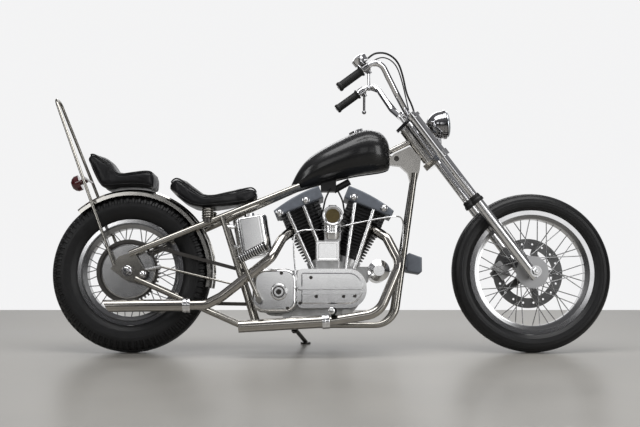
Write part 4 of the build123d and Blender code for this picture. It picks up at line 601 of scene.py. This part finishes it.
def make_seat(name, shape, node):
    """One padded seat in the place of its solid."""
    first = shape["top"][0][0]
    last = shape["top"][-1][0]
    count = round((last - first) / STATION_STEP)
    stations = [first + (last - first) * number / count for number in range(count + 1)]
    angles = [2 * math.pi * number / SECTION_POINTS for number in range(SECTION_POINTS)]
    rows = [[section_point(shape, ahead, angle, START_INSET) for angle in angles] for ahead in stations]
    mesh = grid_mesh(name, rows, closed=False)
    close_outward(mesh)
    seat = add_piece(name, mesh, LEATHER, "frame")
    swell(seat)
    paint(seat, LEATHER)
    seat.data.shade_smooth()
    smooth = seat.modifiers.new("smooth", "SUBSURF")
    smooth.levels = SMOOTH_LEVELS
    smooth.render_levels = SMOOTH_LEVELS
    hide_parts(node)
    for label, angle, radius in SEAMS:
        side = [section_point(shape, ahead, angle, SEAM_INSET) for ahead in stations[1:-1]]
        other = [section_point(shape, ahead, math.pi - angle, SEAM_INSET) for ahead in stations[1:-1]]
        tube(f"{name}_{label}", side + other[::-1], radius, LEATHER, "frame", closed=True)


make_seat("saddle_leather", SADDLE, "solo_seat")
make_seat("pad_leather", PAD, "passenger_seat")


# Turned fittings: profiles are rows of (distance along the axis, radius) in mm
RIGHT = -LEFT
DOME_NUT = ((0, 15), (2.5, 15), (3, 12.5), (7, 12.2), (11, 9.5), (13.5, 5), (14.2, 0.3))
STUD_NUT = ((-26, 8), (0, 8), *DOME_NUT)
CHEESE_HEAD = ((0, 7), (3.6, 7), (4.6, 6), (4.6, 3), (2.6, 2.8), (2.6, 0.2))
HEX_NUT = ((0, 15), (9, 15), (10.5, 13), (10.5, 8), (15, 8), (16.5, 6.5), (16.5, 0.2))
WASHER = ((0, 21), (2, 21), (2.8, 20), (2.8, 9))
LUG_BOLT = ((-6, 10.6), (-1, 10.6), (0, 9.6), (0, 4.4), (-2.4, 4), (-2.4, 0.2))
RUBBER_END = ((0, 13), (3, 13), (4.5, 11), (5, 6), (5, 0.2))

# Profiles on the engine: bell mouth, choke and fuel bowl of the carburettor, and the cover's boss
BELL_RING = ((-20, 26), (-20, 33.6), (-8, 35), (-2, 40), (1, 41.5), (4, 40.5), (5, 37), (3, 32), (-1, 29.6))
CHOKE = ((-2, 30.2), (0.6, 28), (-0.4, 22), (0.6, 16), (-0.4, 10), (0.6, 5), (0, 0.3))
BOWL = ((0, 36), (3, 40), (10, 40), (12, 36.5), (22, 36.5), (24, 39.5), (29, 39.5), (31, 36), (44, 34),
        (56, 30), (57, 0.3))
BOSS_RING = ((-12, 34), (-8, 34), (-4, 31), (-3, 29), (-3, 26))
# A thin dark ring on the boss's face: painted shade that stands for the shadow in its groove
BOSS_GROOVE_SHADE = ((-0.3, 18.5), (0.5, 18.5), (0.5, 24), (-0.3, 24))

# Studs of the rocker boxes as (ahead, high), and the faces that they stand on
ROCKER_STUDS = ((611, 565), (718, 616), (913, 629), (1034, 584))
ROCKER_RIGHT_FACE = -112
ROCKER_LEFT_FACE = 74
STUDS_RIGHT = [(ahead, ROCKER_RIGHT_FACE, high) for ahead, high in ROCKER_STUDS]
STUDS_LEFT = [(ahead, ROCKER_LEFT_FACE, high) for ahead, high in ROCKER_STUDS]

# Places on the carburettor and the timing cover as (ahead, left, high)
BELL = (826, -158, 547)
BOSS = (611, -162, 243)
SCREWS = ((739, -150, 300), (621, -150, 318), (646, -150, 178), (695, -132, 199), (760, -150, 225),
          (869, -150, 225), (914, -150, 227))

# Columns: piece, material, body, profile, sides, facing, places as (ahead, left, high)
FITTINGS = (
    ("rocker_nuts", CHROME, "frame", DOME_NUT, 24, RIGHT, STUDS_RIGHT),
    ("rocker_nuts_left", CHROME, "frame", DOME_NUT, 24, LEFT, STUDS_LEFT),
    ("cover_screws", DARK_STEEL, "frame", CHEESE_HEAD, 18, RIGHT, SCREWS),
    ("axle_nut_rear", CHROME, "frame", HEX_NUT, 6, RIGHT, ((0, -150, 327.5),)),
    ("axle_nut_front", CHROME, "steering", HEX_NUT, 6, RIGHT, ((1645.2, -118, 327.4),)),
    ("axle_washer", CHROME, "frame", WASHER, 32, RIGHT, ((0, -128, 327.5),)),
    ("adjuster_nut", CHROME, "frame", STUD_NUT, 24, RIGHT, ((62, -123, 316),)),
    ("adjuster_washer", DARK_STEEL, "frame", WASHER, 32, RIGHT, ((62, -122, 316),)),
    ("lug_bolt_right", DARK_STEEL, "frame", LUG_BOLT, 24, RIGHT, ((1094, -17, 802),)),
    ("lug_bolt_left", DARK_STEEL, "frame", LUG_BOLT, 24, LEFT, ((1094, 17, 802),)),
    ("peg_end", ALUMINIUM, "frame", RUBBER_END, 24, RIGHT, ((820, -236, 166),)),
    ("bell_ring", CHROME, "frame", BELL_RING, 48, RIGHT, (BELL,)),
    ("choke_plate", GAUZE, "frame", CHOKE, 48, RIGHT, (BELL,)),
    ("boss_ring", ALUMINIUM, "frame", BOSS_RING, 48, RIGHT, (BOSS,)),
    # Painted shade: a dark ring standing for the shadow in the boss's groove
    ("boss_groove_painted_shade", DARK_STEEL, "frame", BOSS_GROOVE_SHADE, 48, RIGHT, (BOSS,)),
    ("fuel_bowl", ALUMINIUM, "frame", BOWL, 40, -UP, ((826, -104, 512),)),
)
for name, material, body, profile, sides, facing, places in FITTINGS:
    turned(name, [(spot(*place), facing, profile, sides) for place in places], material, body)

# Engine covers. Columns: piece, outline, layers as (left, scale)
COVERS = (
    ("tappet_cover", rounded(760, 853, 368, 447, 9),
     ((-120, 1.0), (-128, 1.0), (-131, 0.96), (-131, 0.80), (-129, 0.77))),
    ("cover_rib", rounded(686, 946, 252, 264, 5.5), ((-148, 1.0), (-164, 1.0), (-166, 0.985))),
    ("cover_lip", rounded(700, 934, 233, 239, 2.8), ((-148, 1.0), (-158, 1.0), (-159, 0.99))),
)
for name, outline, layers in COVERS:
    raised(name, outline, layers, ALUMINIUM, "frame")

# Thin pipes on the engine. Columns: line, points as (ahead, left, high)
LINE_RADIUS = 0.0030
LINES = (
    ("oil_line", ((786, -84, 497), (730, -118, 495), (694, -124, 490), (674, -125, 478), (668, -125, 450),
                  (670, -124, 390), (676, -122, 330), (678, -120, 306))),
    ("vent_line", ((836, -100, 505), (868, -120, 509), (980, -128, 533), (1078, -112, 551), (1106, -92, 549),
                   (1116, -80, 522), (1110, -77, 430), (1096, -74, 352), (1078, -66, 332),
                   (1046, -60, 328))),
)
for name, points in LINES:
    tube(name, [spot(*point) for point in points], LINE_RADIUS, CHROME, "frame")

# Exhaust: a bright clamp round the front end of each muffler
CLAMP = ((-0.6, 27), (-0.6, 28.6), (1.5, 29.4), (12, 29.4), (13, 28.7), (15, 28.7), (16, 29.4), (26.5, 29.4),
         (28.6, 28.6), (28.6, 24))
CLAMP_SIDES = 40

# Columns: front and rear end of each muffler as (ahead, left, high)
MUFFLERS = (((262, -178, 190), (-84, -182, 186)), ((812, -180, 126), (454, -184, 105)))
clamps = []
for start, end in MUFFLERS:
    run = (spot(*end) - spot(*start)).normalized()
    clamps.append((spot(*start), run, CLAMP, CLAMP_SIDES))
turned("muffler_clamps", clamps, CHROME, "frame")

# Bars: where the right and left grips end, where the bar bends, and the ways along and up from a grip
GRIP_AHEAD = 848
GRIP_HIGH = 1057
GRIP_ASIDE = 210
BEND_AHEAD = 1012
BEND_HIGH = 1178
GRIP_RUN = heading(BEND_AHEAD - GRIP_AHEAD, 0, BEND_HIGH - GRIP_HIGH)
GRIP_UP = heading(GRIP_HIGH - BEND_HIGH, 0, BEND_AHEAD - GRIP_AHEAD)

# Ribbed grips in the place of the plain ones: a bulb, ribs and a collar
GRIP_BULB = ((0, 9), (0.6, 15), (3, 18.6), (8, 20.2), (13, 19.2), (17, 17))
GRIP_RIB = ((0, 16.4), (1.2, 17.4), (3.6, 17.4), (4.8, 16.4))
GRIP_COLLAR = ((105, 17), (110, 18), (112, 21.5), (117.5, 22), (118, 20), (118, 13))
GRIP_RIBS_FROM = 19
GRIP_RIB_PITCH = 5.6
GRIP_RIB_COUNT = 15
GRIP_SIDES = 32
grip_profile = list(GRIP_BULB)
for number in range(GRIP_RIB_COUNT):
    start = GRIP_RIBS_FROM + number * GRIP_RIB_PITCH
    grip_profile += [(start + along, radius) for along, radius in GRIP_RIB]
grip_profile += GRIP_COLLAR
grip_parts = []
for side in (-1, 1):
    grip_end = spot(GRIP_AHEAD, side * GRIP_ASIDE, GRIP_HIGH)
    grip_parts.append((grip_end, GRIP_RUN, grip_profile, GRIP_SIDES))
grips = turned("ribbed_grips", grip_parts, SOFT_RUBBER, "steering", GRIP_SHARP)
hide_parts("grips")

# Lid of the brake lever's reservoir
LID = ((-23, 31.6), (-3, 32), (-1, 33.2), (1.5, 33), (6, 28), (10, 20), (12.4, 10), (13, 0.3))
LID_PLACE = spot(930.4, -GRIP_ASIDE, 1175.4)
LID_SIDES = 48
turned("reservoir_lid", [(LID_PLACE, GRIP_UP, LID, LID_SIDES)], CHROME, "steering")

# Hose, control cables and plug leads. Columns: cord, radius in metres, body, length in metres,
# node that it replaces, points as (ahead, left, high)
CORDS = (
    ("smooth_hose", 0.0040, "steering", 0.425, "brake_hose",
     ((946, -210, 1156), (976, -203, 1190), (1006, -196, 1206), (1052, -160, 1212), (1096, -128, 1186),
      (1118, -104, 1126), (1132, -84, 1060), (1160, -64, 1010), (1167.2, -59.9, 978))),
    ("throttle_cable", 0.0026, "steering", 0.37, None,
     ((962, -206, 1150), (1004, -196, 1184), (1046, -166, 1194), (1088, -132, 1172), (1112, -106, 1112),
      (1130, -80, 1044), (1142, -66, 996))),
    ("clutch_cable", 0.0028, "steering", 0.34, None,
     ((962, 210, 1146), (984, 206, 1148), (1018, 196, 1138), (1060, 176, 1108), (1100, 140, 1050),
      (1136, 96, 984), (1150, 62, 940))),
    ("plug_lead_rear", 0.0036, "frame", 0.17, None,
     ((818, -22, 676), (808, -52, 652), (796, -74, 622), (790, -80, 590), (782, -74, 560), (768, -52, 545))),
    ("plug_lead_front", 0.0036, "frame", 0.17, None,
     ((844, -22, 676), (854, -54, 650), (868, -76, 618), (872, -80, 588), (878, -72, 560), (890, -50, 548))),
)


def make_cords():
    """The hose, the control cables and the plug leads, each a tube along its route."""
    for name, radius, body, length, node, points in CORDS:
        route = [spot(*point) for point in points]
        cord = tube(name, route, radius, SOFT_RUBBER, body)
        if node:
            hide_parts(node)


make_cords()

# Headlamp glass, dished out of its rim
LENS = ((-3, 55), (0, 55), (4, 51), (8, 41), (11, 27), (12.8, 12), (13.2, 0.3))
LENS_PLACE = spot(1308.5, 0, 949.7)
LENS_FACING = heading(0.9962, 0, 0.0872)
LENS_SIDES = 56
turned("lens", [(LENS_PLACE, LENS_FACING, LENS, LENS_SIDES)], LENS_GLASS, "steering", LENS_SHARP)

# Saddle springs: a coil round each post
POST_AHEAD = 316
POST_ASIDE = 79.5
COIL_FOOT = 541
COIL_RISE = 46
COIL_RADIUS = 21.0
COIL_TURNS = 4.5
COIL_STEPS = 54
COIL_WIRE_RADIUS = 0.0034
for side, label in ((-1, "right"), (1, "left")):
    coil = []
    for step in range(COIL_STEPS + 1):
        angle = 2 * math.pi * COIL_TURNS * step / COIL_STEPS
        ahead = POST_AHEAD + COIL_RADIUS * math.cos(angle)
        left = side * POST_ASIDE + COIL_RADIUS * math.sin(angle)
        coil.append(spot(ahead, left, COIL_FOOT + COIL_RISE * step / COIL_STEPS))
    tube("saddle_spring_" + label, coil, COIL_WIRE_RADIUS, NICKEL, "frame")

# Kick pedal: a dark sleeve with bright ribs round it
PEDAL_RUN = heading(0.885, 0, 0.465)
PEDAL_START = spot(449.7, -210, 365)
PEDAL_SLEEVE = ((6, 15), (7, 17), (117, 17), (118, 18.5), (123, 18.5), (126, 15), (127, 0.3))
PEDAL_RIB = ((-2.6, 16.5), (-2.2, 18.6), (-1.2, 19.4), (1.2, 19.4), (2.2, 18.6), (2.6, 16.5))
PEDAL_RIBS_FROM = 0.013
PEDAL_RIB_PITCH = 0.0092
PEDAL_RIB_COUNT = 12
PEDAL_SIDES = 28
turned("pedal_sleeve", [(PEDAL_START, PEDAL_RUN, PEDAL_SLEEVE, PEDAL_SIDES)], SOFT_RUBBER, "frame")
pedal_ribs = []
for number in range(PEDAL_RIB_COUNT):
    rib_place = PEDAL_START + PEDAL_RUN * (PEDAL_RIBS_FROM + PEDAL_RIB_PITCH * number)
    pedal_ribs.append((rib_place, PEDAL_RUN, PEDAL_RIB, PEDAL_SIDES))
turned("pedal_ribs", pedal_ribs, ALUMINIUM, "frame")


# Stage: floor, light and camera
FLOOR_BACK = 1.83
FLOOR_REACH = 9.0
WALL_WHITE = (0.90, 0.90, 0.905, 1)
ROOM_DIM = (0.035, 0.035, 0.037, 1)
ROOM_BRIGHT = (0.26, 0.26, 0.27, 1)
ROOM_LIGHT = 0.34

# Upward part of a direction from which the mirrored room brightens, and backward part from which it is wall
DIM_BELOW = 0.12
BRIGHT_ABOVE = 0.80
WALL_START = 0.70
WALL_FULL = 0.96


def make_floor():
    """A plain pale floor that ends where the white wall behind the machine starts."""
    corners = [(-FLOOR_REACH, -FLOOR_REACH, 0), (FLOOR_REACH, -FLOOR_REACH, 0),
               (FLOOR_REACH, FLOOR_BACK, 0), (-FLOOR_REACH, FLOOR_BACK, 0)]
    mesh = bpy.data.meshes.new("floor")
    mesh.from_pydata(corners, [], [(0, 1, 2, 3)])
    floor = bpy.data.objects.new("floor", mesh)
    bpy.context.scene.collection.objects.link(floor)
    paint(floor, FLOOR_PAINT)


def maximum(tree, first, second):
    """The larger of two outputs."""
    larger = tree.nodes.new("ShaderNodeMath")
    larger.operation = "MAXIMUM"
    tree.links.new(first, larger.inputs[0])
    tree.links.new(second, larger.inputs[1])
    return larger.outputs["Value"]


def make_world():
    """A white wall behind the machine, seen and mirrored, in a room that is dim on the camera's side."""
    world = bpy.data.worlds.new("room")
    bpy.context.scene.world = world
    world.use_nodes = True
    tree = world.node_tree
    light = tree.nodes["Background"]
    light.inputs["Color"].default_value = (1, 1, 1, 1)
    light.inputs["Strength"].default_value = ROOM_LIGHT
    place = tree.nodes.new("ShaderNodeTexCoord")
    split = tree.nodes.new("ShaderNodeSeparateXYZ")
    tree.links.new(place.outputs["Generated"], split.inputs["Vector"])
    height = node_of(tree, "ShaderNodeMapRange", **{"From Min": DIM_BELOW, "From Max": BRIGHT_ABOVE})
    tree.links.new(split.outputs["Z"], height.inputs["Value"])
    ramp = tree.nodes.new("ShaderNodeValToRGB")
    ramp.color_ramp.elements[0].color = ROOM_DIM
    ramp.color_ramp.elements[1].color = ROOM_BRIGHT
    tree.links.new(height.outputs["Result"], ramp.inputs["Fac"])
    wall = node_of(tree, "ShaderNodeMapRange", **{"From Min": WALL_START, "From Max": WALL_FULL})
    tree.links.new(split.outputs["Y"], wall.inputs["Value"])
    room = tree.nodes.new("ShaderNodeMix")
    room.data_type = "RGBA"
    tree.links.new(wall.outputs["Result"], room.inputs["Factor"])
    tree.links.new(ramp.outputs["Color"], room.inputs["A"])
    room.inputs["B"].default_value = WALL_WHITE
    mirrored = tree.nodes.new("ShaderNodeBackground")
    tree.links.new(room.outputs["Result"], mirrored.inputs["Color"])
    seen = node_of(tree, "ShaderNodeBackground", Color=WALL_WHITE)
    path = tree.nodes.new("ShaderNodeLightPath")
    through = maximum(tree, path.outputs["Is Glossy Ray"], path.outputs["Is Transmission Ray"])
    soft = tree.nodes.new("ShaderNodeMixShader")
    tree.links.new(through, soft.inputs["Fac"])
    tree.links.new(light.outputs["Background"], soft.inputs[1])
    tree.links.new(mirrored.outputs["Background"], soft.inputs[2])
    mix = tree.nodes.new("ShaderNodeMixShader")
    tree.links.new(path.outputs["Is Camera Ray"], mix.inputs["Fac"])
    tree.links.new(soft.outputs["Shader"], mix.inputs[1])
    tree.links.new(seen.outputs["Background"], mix.inputs[2])
    tree.links.new(mix.outputs["Shader"], tree.nodes["World Output"].inputs["Surface"])


# Soft boxes. Columns: name, place, aim, width, height, watts
LAMPS = (
    ("top_box", (0.1, -0.8, 3.2), (0.0, 0.0, 0.4), 3.6, 1.6, 88),
    ("camera_box", (0.1, -6.2, 1.98), (0.0, 0.0, 0.5), 1.7, 1.7, 10),
    ("rear_box", (-2.6, -5.4, 2.2), (-0.4, 0.0, 0.5), 1.5, 1.5, 12),
    ("wheel_box", (2.4, -6.0, 1.8), (0.8, 0.0, 0.4), 1.6, 1.6, 7),
    ("right_box", (3.1, -3.4, 1.45), (0.2, 0.0, 0.5), 1.3, 2.6, 46),
    ("left_box", (-3.6, -2.4, 1.7), (0.0, 0.0, 0.5), 0.8, 2.0, 22),
    ("back_box", (0.0, 3.0, 2.8), (0.0, 0.0, 0.5), 3.5, 1.0, 34),
)


def make_lamps():
    """Large soft boxes round the object."""
    for name, place, aim, width, height, watts in LAMPS:
        lamp = bpy.data.lights.new(name, "AREA")
        lamp.shape = "RECTANGLE"
        lamp.size = width
        lamp.size_y = height
        lamp.energy = watts
        holder = bpy.data.objects.new(name, lamp)
        holder.location = place
        holder.rotation_euler = (Vector(aim) - Vector(place)).to_track_quat("-Z", "Y").to_euler()
        bpy.context.scene.collection.objects.link(holder)


# Camera: metres ahead of the rear axle, from the line between the wheels' feet and above the floor
CAMERA_AHEAD = 0.775
CAMERA_DISTANCE = 4.30
CAMERA_HEIGHT = 0.57
CAMERA_LENS = 59.0
SENSOR_WIDTH = 36.0
CONTACT_LINE = REAR_AXLE.y - UP.y * WHEEL_RADIUS


def make_camera():
    """Level camera square to the machine's right side, as the photograph was taken."""
    lens = bpy.data.cameras.new("camera")
    lens.sensor_width = SENSOR_WIDTH
    lens.lens = CAMERA_LENS
    camera = bpy.data.objects.new("camera", lens)
    camera.location = (REAR_AXLE.x + CAMERA_AHEAD, CONTACT_LINE - CAMERA_DISTANCE, CAMERA_HEIGHT)
    camera.rotation_euler = (math.pi / 2, 0, 0)
    bpy.context.scene.collection.objects.link(camera)
    bpy.context.scene.camera = camera


make_floor()
make_world()
make_lamps()
make_camera()
bpy.context.scene.view_settings.view_transform = "Standard"
